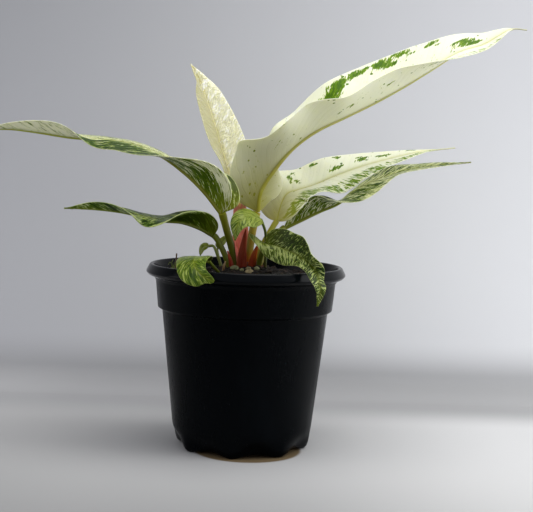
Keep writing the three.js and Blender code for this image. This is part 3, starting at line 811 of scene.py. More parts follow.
def grown(name, data, tree, values):
    """Runs a tree on a mesh or curve, and keeps its result as a plain mesh object."""
    holder = new_object(name + "_holder", data)
    modifier = holder.modifiers.new("grow", "NODES")
    modifier.node_group = tree
    sockets = {s.name: s.identifier for s in tree.interface.items_tree if s.in_out == "INPUT"}
    for label, value in values.items():
        modifier[sockets[label]] = value
    mesh = finished_mesh(holder)
    mesh.name = name
    bpy.data.objects.remove(holder)
    return new_object(name, mesh)


def join_meshes(name, objects):
    """Several objects as one, with their finishes."""
    with bpy.context.temp_override(active_object=objects[0], selected_editable_objects=objects):
        bpy.ops.object.join()
    objects[0].name = name
    objects[0].data.name = name
    return objects[0]


def seat_piece(piece, nodes):
    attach(piece, "root")
    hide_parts(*nodes)


print("tree helpers ready")

# %% [markdown]
# The lateral veins run outwards and forwards from the midrib, a few millimetres apart, and the blade
# swells a little between them. That is a repeat that follows a surface, so a Geometry Nodes tree makes
# it: it reads each point's distance along and across, and moves the point along its own normal.

# %% The tree that raises the veins
VEIN_LEAN = 0.9
VEIN_OFFSET = 0.31
RIB_FADE = -0.9
BLADE_SWELL = 0.35


def vein_tree():
    sizes = {
        "Vein Spacing": ("Float", 6.5),
        "Swell": ("Float", BLADE_SWELL * MM),
        "Crease": ("Float", 0.5 * MM),
        "Material": ("Material", None),
    }
    tree, given = new_tree("raised_veins", sizes)
    kind, settings = "GeometryNodeInputNamedAttribute", {"data_type": "FLOAT"}
    labels = ("along_rib", "across", "to_margin")
    run, across, margin = (add(tree, kind, label, settings=settings) for label in labels)
    out = abs(across)
    turns = (run - out * VEIN_LEAN) / given["Vein Spacing"] + calc("SIGN", across) * VEIN_OFFSET
    swell = abs(calc("SINE", turns * math.pi)) ** 0.6 * given["Swell"]
    dent = calc("EXPONENT", out * RIB_FADE) * given["Crease"]
    lift = swell * (1 - margin**6) - dent
    normal = add(tree, "GeometryNodeInputNormal")
    step = add(tree, "ShaderNodeVectorMath", normal, settings={"operation": "SCALE"}, named={"Scale": lift})
    moved = add(tree, "GeometryNodeSetPosition", given["Geometry"], named={"Offset": step})
    close_tree(tree, moved, given["Material"])
    return tree


raised_veins = vein_tree()
print("tree:", raised_veins.name, "with", len(raised_veins.nodes), "nodes")

# %% [markdown]
# A stalk, a midrib, a twig and a moss shoot are all round cords that follow a path and get thinner. One
# tree makes them all: it resamples the path, sweeps a ring along it and closes the ends. The path's own
# radius carries the taper, and a stored number from 0 to 1 tells the finish how far along it is.

# %% The tree that sweeps a round stem


def stem_tree():
    sizes = {"Step": ("Float", 1.5 * MM), "Sides": ("Int", 14), "Material": ("Material", None)}
    tree, given = new_tree("round_stem", sizes)
    path, step = given["Geometry"], {"Length": given["Step"]}
    even = add(tree, "GeometryNodeResampleCurve", path, settings={"mode": "LENGTH"}, named=step)
    factor = add(tree, "GeometryNodeSplineParameter", out="Factor")
    settings = {"data_type": "FLOAT", "domain": "POINT"}
    stored = {"Name": "along_stem", "Value": factor}
    kept = add(tree, "GeometryNodeStoreNamedAttribute", even, settings=settings, named=stored)
    ring = add(tree, "GeometryNodeCurvePrimitiveCircle", given["Sides"], named={"Radius": 1.0})
    options = {"Scale": add(tree, "GeometryNodeInputRadius"), "Fill Caps": True}
    swept = add(tree, "GeometryNodeCurveToMesh", kept, ring, named=options)
    close_tree(tree, add(tree, "GeometryNodeSetShadeSmooth", swept), given["Material"])
    return tree


def path_curve(name, points, radii):
    """A smooth path through points in millimetres, with a radius in millimetres at each."""
    curve = bpy.data.curves.new(name, "CURVE")
    curve.dimensions = "3D"
    spline = curve.splines.new("POLY")
    spline.points.add(len(points) - 1)
    for point, place, radius in zip(spline.points, points, radii):
        point.co = [c * MM for c in place] + [1]
        point.radius = radius * MM
    return curve


round_stem = stem_tree()
print("tree:", round_stem.name, "with", len(round_stem.nodes), "nodes")

# %% [markdown]
# ## Leaf finishes
# Where the leaf has no green it is cream, and the green lies in streaks that follow the lateral veins,
# with small flecks between. So the colour isn't a picture: it starts from the drawn patches, adds noise
# that is stretched along the veins, and passes the sum through soft steps from cream to dark green.
# The two faces have their own finishes, because the underside is paler and duller. A little light
# passes through a leaf, which the subsurface part of the shader gives.

# %% One finish for each face of a leaf
# How far a noise is drawn out along the lateral veins and over them in millimetres, its detail and its
# roughness.
GRAINS = {
    "bends": (14, 9, 1, 0.5),
    "streaks": (11, 2.4, 4, 0.65),
    "flecks": (2.6, 0.9, 2, 0.5),
    "shades": (6, 2.0, 3, 0.6),
    "glints": (6, 3.5, 2, 0.5),
    "puckers": (5, 2.2, 3, 0.6),
}
BEND_SIZE = 7.0
SHADE_SHIFT = 40.0
HALVES_APART = 3.7
# Each pair is where a soft step starts and ends: of the green for its three shades, of the lateral
# veins' waves for the lines, and of the way to the margin for its pale edge.
LIGHT_STEP = (0.4, 0.52)
GREEN_STEP = (0.5, 0.6)
DARK_STEP = (0.68, 0.86)
LINE_STEP = (0.03, 0.28)
EDGE_STEP = (0.965, 0.995)
FOOT_FADE = -0.09
DARK_SHARE = 0.9
RIB_SHARE = 0.7
EDGE_SHARE = 0.6
SPECK_LEVEL = 0.5
SPECK_WARP = 2.4
SPECK_NET = (0.27, 0.33)
SPECK_SIZE = 0.3
SPECK_EDGE = 0.06
LINE_RELIEF = -0.35
PORE_RELIEF = 0.3
# The near-white tone of the painted glints.
PAINTED_GLINT = (250, 249, 238)
DRY_TIP = (112, 84, 78)
DRY_TIP_FADE = 5
DRY_TIP_TEETH = 22.0


def read_number(tree, label):
    settings = {"attribute_name": label, "attribute_type": "GEOMETRY"}
    return add(tree, "ShaderNodeAttribute", settings=settings, out="Fac")


def speckled(run, across, flecks, share, seed):
    """Small dots, 1 inside and 0 outside, in about this share of the cells of a loose net."""
    cells = combine((run + flecks * SPECK_WARP) * SPECK_NET[0], across * SPECK_NET[1], seed)
    dots = new_node(tree_of(run), "ShaderNodeTexVoronoi", cells, named={"Scale": 1.0, "Randomness": 1.0})
    chance = add(tree_of(run), "ShaderNodeSeparateColor", Value(dots.outputs["Color"]))
    size = ramp(chance, 1 - share, 1.0) * SPECK_SIZE
    return ramp(size - Value(dots.outputs["Distance"]), 0.0, SPECK_EDGE)


def leaf_finish(name, colours, look, roughness, tip):
    """colours are cream, light green, green, dark green, and the tint beside the midrib."""
    cream, light, green, dark, rib = (tone(*c) for c in colours)
    skin = plant_skin(roughness, glow=0.45, depth=0.9, gloss=0.14)
    coat = {"Coat Weight": look.get("gloss", 0.0), "Coat Roughness": 0.1}
    constants = {**skin, **coat, "Subsurface Radius": (1.0, 0.95, 0.4)}
    material, tree, shader = new_material(name, constants)
    labels = ("along_rib", "across", "to_margin", "paint")
    run, across, margin, paint = (read_number(tree, label) for label in labels)
    out = abs(across)
    layer = calc("SIGN", across) * HALVES_APART + look["seed"]
    straight = run - out * look.get("lean", VEIN_LEAN)

    def grain(kind, place):
        """Noise whose grains are drawn out along the lateral veins, centred on 0."""
        along_veins, over_veins, detail, roughness = GRAINS[kind]
        spot = combine(place * (1 / over_veins), out * (1 / along_veins), layer)
        return noise(spot, 1.0, detail, roughness) - 0.5

    vein = straight + grain("bends", straight) * BEND_SIZE
    flecks = grain("flecks", vein)
    amount = paint + grain("streaks", vein) * look["streak"] + flecks * look["fleck"]
    if "specks" in look:
        amount = amount + speckled(run, across, flecks, look["specks"], look["seed"]) * SPECK_LEVEL
    colour = blend(ramp(amount, *LIGHT_STEP), cream, light)
    colour = blend(ramp(amount, *GREEN_STEP), colour, green)
    shades = grain("shades", vein + SHADE_SHIFT) * DARK_SHARE
    colour = blend(ramp(amount + shades, *DARK_STEP), colour, dark)
    wave = abs(calc("SINE", vein * (math.pi / look.get("spacing", 5.0))))
    line = 1 - ramp(wave, *LINE_STEP)
    colour = blend(line * look.get("veins", 0.05), colour, light)
    beside_rib = calc("MAXIMUM", calc("EXPONENT", out * RIB_FADE), calc("EXPONENT", run * FOOT_FADE))
    colour = blend(beside_rib * RIB_SHARE, colour, rib)
    if "flush" in look:
        wide, far, tint, share = look["flush"]
        glow = calc("EXPONENT", ((out / wide) ** 2 + (run / far) ** 2) * -1.0)
        colour = blend(share, colour, blend(glow, colour, tone(*tint)))
    # Painted shade darkens one half with its tint, and painted glints lighten the other half in patches.
    if "shaded_half" in look:
        side, tint, share = look["shaded_half"]
        there = ramp(across * side, 0.0, 2.0)
        lit = ramp(grain("glints", vein), 0.04, 0.16) * 0.7
        colour = blend(lit * (1 - there), colour, tone(*PAINTED_GLINT))
        colour = blend(there * share, colour, tone(*tint))
    colour = blend(ramp(margin, *EDGE_STEP) * EDGE_SHARE, colour, cream)
    if tip:
        ragged = run + flecks * DRY_TIP_TEETH
        colour = blend(ramp(ragged, tip, tip + DRY_TIP_FADE), colour, tone(*DRY_TIP))
    relief = line * LINE_RELIEF + noise(place_on(tree), scale=900, detail=3) * PORE_RELIEF
    if "pucker" in look:
        relief = relief + grain("puckers", vein) * look["pucker"]
    dress_shader(shader, colour, relief, strength=0.4, distance=look.get("relief", 0.4))
    return material


def rib_finish(name, base, tip):
    material, tree, shader = new_material(name, plant_skin(0.42, glow=0.15, depth=1, gloss=0.3))
    place = place_on(tree)
    stem = read_number(tree, "along_stem") + noise(place, scale=160, detail=2) * 0.2
    colour = blend(ramp(stem, 0.05, 0.75), tone(*base), tone(*tip))
    dress_shader(shader, colour, noise(place, scale=1400, detail=2), strength=0.2, distance=0.2)
    return material


print("leaf finishes ready")

# %% What each leaf looks like
# greens gives the row of GREENS for the upper face and the one for the underside. rib has the midrib's
# tones at its foot and tip. flush is how far it spreads across and along in millimetres, its tint and
# its strength. A painted shade on one half is given as its side, its tint and its strength, and the
# other half gets painted glints.
GREENS = {
    "white": ((238, 240, 214), (146, 168, 50), (94, 132, 4), (66, 104, 2), (190, 186, 70)),
    "white_under": ((240, 241, 214), (162, 176, 74), (112, 138, 22), (72, 104, 8), (146, 142, 18)),
    "cream": ((226, 224, 188), (206, 200, 134), (176, 174, 70), (140, 142, 40), (206, 192, 92)),
    "cream_under": ((206, 198, 132), (164, 158, 96), (160, 160, 70), (130, 136, 46), (184, 172, 76)),
    "mottled": ((206, 210, 158), (124, 144, 30), (68, 96, 2), (34, 56, 1), (128, 132, 12)),
    "mottled_under": ((228, 230, 200), (140, 158, 46), (92, 120, 8), (50, 78, 2), (130, 134, 16)),
    # The deep rows, used for B and H, are a darker copy of the mottled ones: partly these leaves' own deeper
    # green, partly painted shade on these lower leaves.
    "deep": ((160, 170, 104), (80, 104, 16), (36, 62, 2), (13, 30, 0), (92, 102, 8)),
    "deep_under": ((176, 186, 130), (112, 136, 42), (62, 92, 8), (24, 46, 1), (108, 116, 16)),
    "young": ((138, 150, 74), (98, 116, 28), (66, 90, 6), (38, 62, 2), (106, 116, 22)),
}
YOUNG = {"greens": ("young", "young"), "slot": "leaf_young"}
LOOKS = {
    "blade_a": {
        "greens": ("mottled", "mottled_under"), "rib": ((110, 112, 12), (150, 156, 60)),
        "streak": 2.4, "fleck": 2.2, "seed": 3.1, "veins": 0.12, "spacing": 9.0, "lean": 1.5,
    },
    "blade_b": {
        "greens": ("deep", "deep_under"), "rib": ((84, 92, 10), (120, 132, 40)),
        "streak": 1.5, "fleck": 1.4, "seed": 7.7, "veins": 0.12, "spacing": 9.0, "lean": 1.4,
    },
    "blade_c": {
        "greens": ("cream", "cream_under"), "rib": ((206, 196, 104), (222, 214, 150)), "slot": "leaf_cream",
        "streak": 0.3, "fleck": 0.2, "seed": 1.3, "spacing": 6.0, "pucker": 9.0, "relief": 4,
        # C's left half has a painted shade, and its right half has painted glints.
        "gloss": 1.0, "shine": 0.2, "shaded_half": (1, (168, 162, 108), 0.75),
    },
    "blade_d": {
        "greens": ("white", "white_under"), "rib": ((140, 134, 12), (206, 204, 130)), "slot": "leaf_cream",
        "streak": 1.3, "fleck": 1.1, "seed": 5.2, "specks": 0.45, "swell": 0.12, "dry_tip": 236,
        "flush": (24, 62, (136, 132, 24), 0.85),
    },
    "blade_e": {
        "greens": ("white", "white_under"), "rib": ((176, 170, 60), (214, 214, 160)), "slot": "leaf_cream",
        "streak": 1.4, "fleck": 1.1, "seed": 9.4, "specks": 0.35, "swell": 0.2,
        "flush": (11, 30, (170, 164, 70), 0.75),
    },
    "blade_f": {
        "greens": ("mottled", "mottled_under"), "rib": ((120, 126, 24), (120, 134, 40)),
        "streak": 2.4, "fleck": 2.2, "seed": 2.6, "veins": 0.12, "spacing": 9.0, "lean": 1.4,
    },
    "blade_g": {
        **YOUNG, "rib": ((110, 120, 36), (140, 148, 76)),
        "streak": 0.9, "fleck": 2.2, "seed": 6.1, "veins": 0.1, "spacing": 3.6, "lean": 1.6,
    },
    "blade_h": {
        "greens": ("deep", "deep_under"), "rib": ((110, 122, 30), (140, 150, 60)),
        "streak": 1.3, "fleck": 2.6, "seed": 8.3, "veins": 0.4, "spacing": 4.6,
    },
    "blade_i": {
        **YOUNG, "rib": ((116, 128, 34), (140, 150, 60)),
        "streak": 1.0, "fleck": 2.2, "seed": 4.4, "veins": 0.1, "spacing": 3.6, "lean": 1.6,
    },
    "blade_j": {**YOUNG, "rib": ((120, 130, 56), (150, 158, 96)), "streak": 1.0, "fleck": 1.0, "seed": 1.9},
    "blade_k": {**YOUNG, "rib": ((120, 130, 56), (150, 158, 96)), "streak": 1.0, "fleck": 1.0, "seed": 2.2},
}
print("leaf looks:", len(LOOKS))

# %% Make the blades
BLOTCHED_SHEET = (0.8, 32)
PLAIN_SHEET = (1.2, 20)
UPPER_ROUGHNESS = 0.34
UNDER_ROUGHNESS = 0.48
RIB_END = 0.985
RIB_POINTS = 60
RIB_TIP_RADIUS = 0.3
RIB_GROWTH = 1.1
RIB_TAPER = 0.8
RIB_SINK = 0.75
WIDE_LEAF = 20


def solid_sheet(piece, thickness, margin_share):
    """Gives a sheet its thickness, thinner at the margin, with the underside as the second finish."""
    group = piece.vertex_groups.new(name="thick")
    margins = np.zeros(len(piece.data.vertices), np.float32)
    piece.data.attributes["to_margin"].data.foreach_get("value", margins)
    for k, margin in enumerate(margins):
        group.add([k], float(1 - (1 - margin_share) * margin**4), "REPLACE")
    solid = piece.modifiers.new("thickness", "SOLIDIFY")
    solid.thickness = thickness * MM
    solid.offset = 0
    solid.vertex_group = "thick"
    solid.material_offset = 1
    solid.material_offset_rim = 1
    made = finished_mesh(piece)
    piece.modifiers.clear()
    piece.data = made


def midrib(name, leaf, finish):
    """The round rib under a blade, thinner to the tip and sunk into the fold between the halves."""
    t = np.linspace(0, RIB_END, RIB_POINTS)
    centre, _, left, up = rib_frame(leaf, t)
    radii = (RIB_TIP_RADIUS + RIB_GROWTH * (1 - t) ** RIB_TAPER) * min(leaf["half"][1] / WIDE_LEAF, 1)
    lifts = np.radians(along(np.array(leaf["rib"], float)[:, 3:], t))
    middle, twist = (lifts[:, :1] + lifts[:, 1:]) / 2, (lifts[:, :1] - lifts[:, 1:]) / 2
    points = centre - unit(up * np.cos(middle) - left * np.sin(twist)) * (radii * RIB_SINK)[:, None]
    return grown(name + "_rib", path_curve(name + "_path", points, radii), round_stem, {"Material": finish})


def make_blade(name, leaf, look):
    shine = look.get("shine", UPPER_ROUGHNESS)
    faces = (("_upper", shine, look["greens"][0]), ("_under", UNDER_ROUGHNESS, look["greens"][1]))
    tip = look.get("dry_tip")
    finishes = [leaf_finish(name + side, GREENS[row], look, rough, tip) for side, rough, row in faces]
    finishes.append(rib_finish(name + "_midrib", *look["rib"]))
    length_step, columns = BLOTCHED_SHEET if "blotches" in leaf["marks"] else PLAIN_SHEET
    mesh = sheet_mesh_of(name, leaf, length_step, columns)
    sizes = {"Material": finishes[0], "Swell": look.get("swell", BLADE_SWELL) * MM}
    blade = grown(name + "_fine", mesh, raised_veins, sizes)
    for finish in finishes[1:]:
        blade.data.materials.append(finish)
    solid_sheet(blade, THICKNESS, MARGIN_THICKNESS / THICKNESS)
    piece = join_meshes(name + "_leaf", [blade, midrib(name, leaf, finishes[-1])])
    seat_piece(piece, [name])
    print(name, "faces:", len(piece.data.polygons))


for name, leaf in BLADES.items():
    leaf["marks"] = MARKS[name]
    make_blade(name, leaf, LOOKS[name])

# %% [markdown]
# ## Stalks
# A leaf stalk is round, a little thicker at its foot, and has a slightly swollen joint just under the
# blade. Its foot is darker or redder than its top. The same tree that made the midribs sweeps it.

# %% Stalk routes
# radii and tones run from the foot to the top. A route has x, y and z in millimetres, as in part.mjs.
STALKS = {
    "petiole_a": {
        "radii": (2.6, 2.4), "tones": ((76, 70, 2), (82, 86, 1), (116, 118, 14)),
        "route": [[-6, -5, 112], [-6.8, -5.8, 122], [-10, -8, 136], [-13, -10.6, 146], [-16.6, -15.1, 158.8]],
    },
    "petiole_b": {
        "radii": (2, 1.9), "tones": ((74, 68, 4), (84, 90, 4), (96, 106, 16)),
        "route": [[-10.4, -7.6, 112], [-11.2, -8, 122], [-15.4, -8.8, 133], [-21.2, -9.7, 143.2]],
    },
    "petiole_c": {
        "radii": (2.4, 2), "tones": ((150, 110, 40), (190, 174, 70), (206, 196, 104)),
        "route": [[-2.4, 8, 112], [-2.8, 9, 125], [-4.2, 12, 145], [-6.8, 14.9, 167.2]],
    },
    "petiole_d": {
        "radii": (2.8, 2.5), "tones": ((176, 62, 8), (128, 112, 6), (150, 142, 18)),
        "route": [[1.2, -2, 112], [1.4, -2.6, 124], [2.6, -3, 140], [6, -3, 159.8]],
    },
    "petiole_e": {
        "radii": (2.1, 1.8), "tones": ((120, 84, 10), (122, 120, 14), (150, 148, 40)),
        "route": [[5.5, 4, 112], [6.5, 4.5, 124], [11, 6, 138], [19.4, 9.7, 153.2]],
    },
    "petiole_f": {
        "radii": (2, 1.8), "tones": ((96, 84, 10), (114, 118, 16), (126, 130, 30)),
        "route": [[8, -1.6, 112], [9, -1, 124], [14.4, 4, 135], [24.4, 13.5, 149]],
    },
    "petiole_g": {
        "radii": (1.1, 0.9), "tones": ((56, 58, 8), (60, 74, 10), (90, 106, 26)),
        "route": [[12.6, -4, 112], [12.9, -5, 124], [13, -6, 136], [12.4, -9, 147], [9.6, -17.2, 155.1]],
    },
    "petiole_h": {
        "radii": (1.9, 1.7), "tones": ((58, 52, 6), (68, 74, 8), (86, 98, 18)),
        "route": [[8, -8.5, 112], [8.3, -9.5, 122], [9.6, -13.4, 130.5], [12.2, -19.4, 138.2]],
    },
    "petiole_i": {
        "radii": (1.1, 1), "tones": ((68, 66, 12), (80, 88, 14), (98, 112, 28)),
        "route": [[-14, -12, 110], [-17, -16, 118.5], [-20.5, -21, 123], [-24.4, -27.4, 128]],
    },
    "petiole_j": {
        "radii": (1.1, 0.9), "tones": ((72, 72, 16), (98, 106, 26), (120, 132, 56)),
        "route": [[-13, -1, 110], [-16, 0, 119], [-20, 2, 130], [-23, 3, 136], [-25.4, 3.8, 135.9]],
    },
    "petiole_k": {
        "radii": (1, 0.8), "tones": ((72, 72, 16), (104, 112, 32), (128, 138, 66)),
        "route": [[-12, 5, 110], [-16, 6, 119], [-20.5, 9.6, 133.4]],
    },
    "twig": {
        "radii": (0.7, 0.5), "tones": ((70, 54, 38), (92, 74, 54), (110, 92, 70)),
        "route": [[-49, 10, 110], [-48.8, 10, 120], [-48.4, 10, 129.6]],
    },
}
print("stalk routes:", len(STALKS))

# %% Finishes and pieces of the stalks
STALK_POINTS = 40
JOINT_SWELL = 0.12
JOINT_PLACE = 0.95
JOINT_SPREAD = 0.06
POINTS_A_SPAN = 24
SMALLEST_GAP = 1e-4


def stretched(place, share):
    """The place with heights squeezed, so that a noise on it is drawn out upwards."""
    return add(tree_of(place), "ShaderNodeMapping", place, named={"Scale": (1, 1, share)})


def stalk_finish(name, foot, middle, top):
    material, tree, shader = new_material(name, plant_skin(0.4, glow=0.1, depth=1, gloss=0.35))
    streaks = noise(stretched(place_on(tree), 0.12), scale=700, detail=4, roughness=0.6)
    stem = read_number(tree, "along_stem") + (streaks - 0.5) * 0.25
    colour = blend(ramp(stem, 0.22, 0.5), tone(*foot), tone(*middle))
    colour = blend(ramp(stem, 0.6, 0.95), colour, tone(*top))
    colour = blend(ramp(streaks, 0.5, 0.75) * 0.35, colour, tone(*foot))
    dress_shader(shader, colour, streaks, strength=0.25, distance=0.3)
    return material


def slope_at(before, place, after, gap1, gap2):
    return (place - before) / gap1 - (after - before) / (gap1 + gap2) + (after - place) / gap2


def centripetal(route, t):
    """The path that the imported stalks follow: a smooth line whose knots are spaced by distance."""
    route = np.array(route, float)
    ends = [2 * route[0] - route[1], *route, 2 * route[-1] - route[-2]]
    f = np.linspace(0, 1, POINTS_A_SPAN)[:, None]
    spans = []
    for p0, p1, p2, p3 in zip(ends, ends[1:], ends[2:], ends[3:]):
        steps = (p1 - p0, p2 - p1, p3 - p2)
        gap0, gap1, gap2 = (max(np.linalg.norm(step) ** 0.5, SMALLEST_GAP) for step in steps)
        slope1 = slope_at(p0, p1, p2, gap0, gap1) * gap1
        slope2 = slope_at(p1, p2, p3, gap1, gap2) * gap1
        spans.append(cubic(p1, p2, slope1, slope2, f))
    dense = np.concatenate(spans)
    run = run_along(dense)
    return np.stack([np.interp(t * run[-1], run, dense[:, axis]) for axis in range(3)], axis=1)


def make_stalk(name, stalk):
    finish = stalk_finish(name + "_skin", *stalk["tones"])
    leaf = BLADES.get(name.replace("petiole", "blade"))
    route = [*stalk["route"], leaf["rib"][0][:3]] if leaf else stalk["route"]
    t = np.linspace(0, 1, STALK_POINTS)
    foot, top = stalk["radii"]
    radii = foot + (top - foot) * t
    if leaf:
        radii = radii + JOINT_SWELL * top * np.exp(-(((t - JOINT_PLACE) / JOINT_SPREAD) ** 2))
    curve = path_curve(name + "_route", centripetal(route, t), radii)
    sizes = {"Material": finish, "Sides": 20, "Step": 1 * MM}
    piece = grown(name + "_stem", curve, round_stem, sizes)
    seat_piece(piece, [name])


for name, stalk in STALKS.items():
    make_stalk(name, stalk)
print("stalks:", len(STALKS))

# %% [markdown]
# ## Papery sheaths
# Each leaf came out of a papery red sheath, which stays round the foot of its stalk, splits and dries.
# They follow the leaf rule without a midrib, so the same sheet maker serves. Fine fibres run lengthwise,
# the foot is deep red, and the torn top is paler.

# %% Sheath tables
# tones are those of the foot, the top and the dry edge. The rib rows are as in part.mjs.
SHEATHS = {
    "sheath_red": {
        "across": [-1, 0, 0], "half": [4.3, 4], "fall": 0.7, "slot": "sheath_red",
        "tones": ((92, 20, 2), (120, 38, 8), (158, 92, 52)),
        "rib": [
            [-3, -12.4, 121, -26, -26],
            [-2.6, -12.8, 132, -26, -26],
            [-1.6, -13, 141, -26, -26],
            [-0.8, -13.2, 149, -20, -20],
        ],
    },
    "sheath_pink_left": {
        "across": [-0.6, -0.8, 0], "half": [2.6, 2.8], "fall": 0.7, "slot": "sheath_pink",
        "tones": ((146, 38, 18), (192, 90, 74), (220, 160, 138)),
        "rib": [[-3.9, -8.1, 121.5, 0, 0], [-6, -8.9, 131, 0, 0], [-8.3, -9.4, 140.5, 0, 0]],
    },
    "sheath_rose": {
        "across": [-1, 0, 0], "half": [2, 2], "fall": 0.7, "slot": "sheath_red",
        "tones": ((108, 26, 8), (142, 54, 28), (180, 116, 84)),
        "rib": [[-9.2, -11.4, 121, -20, -20], [-10.6, -11.8, 128, -20, -20], [-12.6, -11.6, 134, -10, -10]],
    },
    "sheath_orange": {
        "across": [-1, 0, 0], "half": [3.6, 3.2], "fall": 0.6, "slot": "sheath_red",
        "tones": ((116, 30, 4), (142, 58, 12), (168, 110, 44)),
        "rib": [[3.4, -10.4, 121, -24, -24], [5, -11, 130, -24, -24], [7.6, -12, 139, -10, -10]],
    },
    "sheath_pink_tall": {
        "across": [-1, -0.1, 0], "half": [6.4, 6], "fall": 0.12, "notch": 3.4, "slot": "sheath_pink",
        "tones": ((204, 84, 70), (228, 130, 118), (214, 176, 104)),
        "rib": [
            [-3.4, 2.4, 121, 12, 12],
            [-4, 3.6, 136, 12, 12],
            [-4.8, 4.6, 150, 12, 12],
            [-5.4, 5.4, 162.6, 12, 12],
        ],
    },
    "sheath_dry": {
        "across": [-0.7, -0.7, 0], "half": [1.5, 1.5], "fall": 0.5, "slot": "dry_litter",
        "tones": ((96, 72, 46), (134, 108, 74), (160, 138, 104)),
        "rib": [[-15.6, -15.4, 119.6, 30, 30], [-15, -14.8, 124, 30, 30], [-13.8, -14.2, 127.2, 20, 20]],
    },
}
print("sheath tables:", len(SHEATHS))

# %% Finishes and pieces of the sheaths
SHEATH_SHEET = (0.9, 10)
SHEATH_THICKNESS = 0.6
SHEATH_MARGIN_SHARE = 0.4


def sheath_finish(name, foot, top, edge, length):
    material, tree, shader = new_material(name, plant_skin(0.5, glow=0.1, depth=0.6, gloss=0.12))
    run, across, margin = (read_number(tree, label) for label in ("along_rib", "across", "to_margin"))
    fibres = noise(combine(run * 0.05, across * 1.6, 2.0), scale=1.0, detail=4, roughness=0.6)
    spots = noise(combine(run * 0.25, across * 0.35, 5.0), scale=1.0, detail=3)
    high = run / length + (spots - 0.5) * 0.5
    colour = blend(ramp(high, 0.25, 0.8), tone(*foot), tone(*top))
    dry_places = (ramp(fibres, 0.45, 0.7) * 0.4, ramp(high, 0.92, 1.05) * 0.8, ramp(margin, 0.8, 1.0) * 0.3)
    for share in dry_places:
        colour = blend(share, colour, tone(*edge))
    dress_shader(shader, colour, fibres, strength=0.5, distance=0.5)
    return material


def make_sheath(name, sheath):
    rib = np.array(sheath["rib"], float)[:, :3]
    finish = sheath_finish(name + "_paper", *sheath["tones"], float(run_along(rib)[-1]))
    mesh = sheet_mesh_of(name, sheath, *SHEATH_SHEET)
    sizes = {"Material": finish, "Swell": 0.08 * MM, "Crease": 0.0, "Vein Spacing": 3.0}
    piece = grown(name + "_wrap", mesh, raised_veins, sizes)
    piece.data.materials.append(finish)
    solid_sheet(piece, SHEATH_THICKNESS, SHEATH_MARGIN_SHARE)
    seat_piece(piece, [name])


for name, sheath in SHEATHS.items():
    make_sheath(name, sheath)
print("sheaths:", len(SHEATHS))

# %% [markdown]
# ## Nursery pot
# The pot is moulded from black plastic: one wall turned round an axis, with a rolled rim, a stepped band
# below it, and hollows pressed into its foot so that water can run out. A screw modifier could turn the
# profile, but the hollows follow a rule of angle and height, so one Geometry Nodes tree does both.

# %% The pot's profile and tree
# The profile is radius and height, up the outside from the middle of the foot and down the inside.
POT_OUTSIDE = [
    [0, 0], [12, 0], [13, 1.5], [38, 1.5], [39, 0], [43.6, 0], [45.2, 1.6], [46.3, 5], [48, 17],
    [56.4, 92.9], [59.4, 94.8], [61.1, 112.9], [62.5, 115.2], [66.2, 116.9], [67.7, 118.6],
    [67.6, 119.5], [65.6, 123.5], [64.8, 124.1], [63.6, 124.1],
]
POT_INSIDE = [
    [62.8, 123.4], [62, 120.5], [60.2, 113.6], [58.2, 96], [55.2, 93.6], [46.8, 17.4], [45, 6], [43.8, 3],
]
POT_FLOOR = 3
POT_CORNER = 0.45
POT_RUN = 2.2
LARGEST_CUT = 0.4
RIM_START = 114.5
RIM_BLEND = 2
HOLLOWS = 8
HOLLOW_PHASE = -75
HOLLOW_RADII = (34, 42)
HOLLOW_BOTTOM = 4
HOLLOW_TOP = 15
ARCH_HEIGHTS = (0, 8)
DRAIN_RADIUS = 3.2
DRAIN_RING = 33.5
PLASTIC_TONE = (1, 3, 5)
STAIN_TONE = (3, 6, 9)
DUST_TONE = (26, 27, 30)
WALL_SHINE = 0.045
RIM_SHINE = 0.03
RIM_POLISH = 0.4


def rounded(profile, radius, longest):
    """The profile with its corners eased and its long runs divided."""
    profile = [np.array(p, float) for p in profile]
    points = [profile[0]]
    for before, corner, after in zip(profile, profile[1:], profile[2:]):
        back, forth = before - corner, after - corner
        cut = min(radius, LARGEST_CUT * np.linalg.norm(back), LARGEST_CUT * np.linalg.norm(forth))
        start, end = corner + unit(back) * cut, corner + unit(forth) * cut
        for f in (0, 0.25, 0.5, 0.75, 1):
            points.append((1 - f) ** 2 * start + 2 * f * (1 - f) * corner + f * f * end)
    points.append(profile[-1])
    dense = [points[0]]
    for start, end in zip(points, points[1:]):
        pieces = max(1, math.ceil(np.linalg.norm(end - start) / longest))
        dense += [start + (end - start) * n / pieces for n in range(1, pieces + 1)]
    return dense


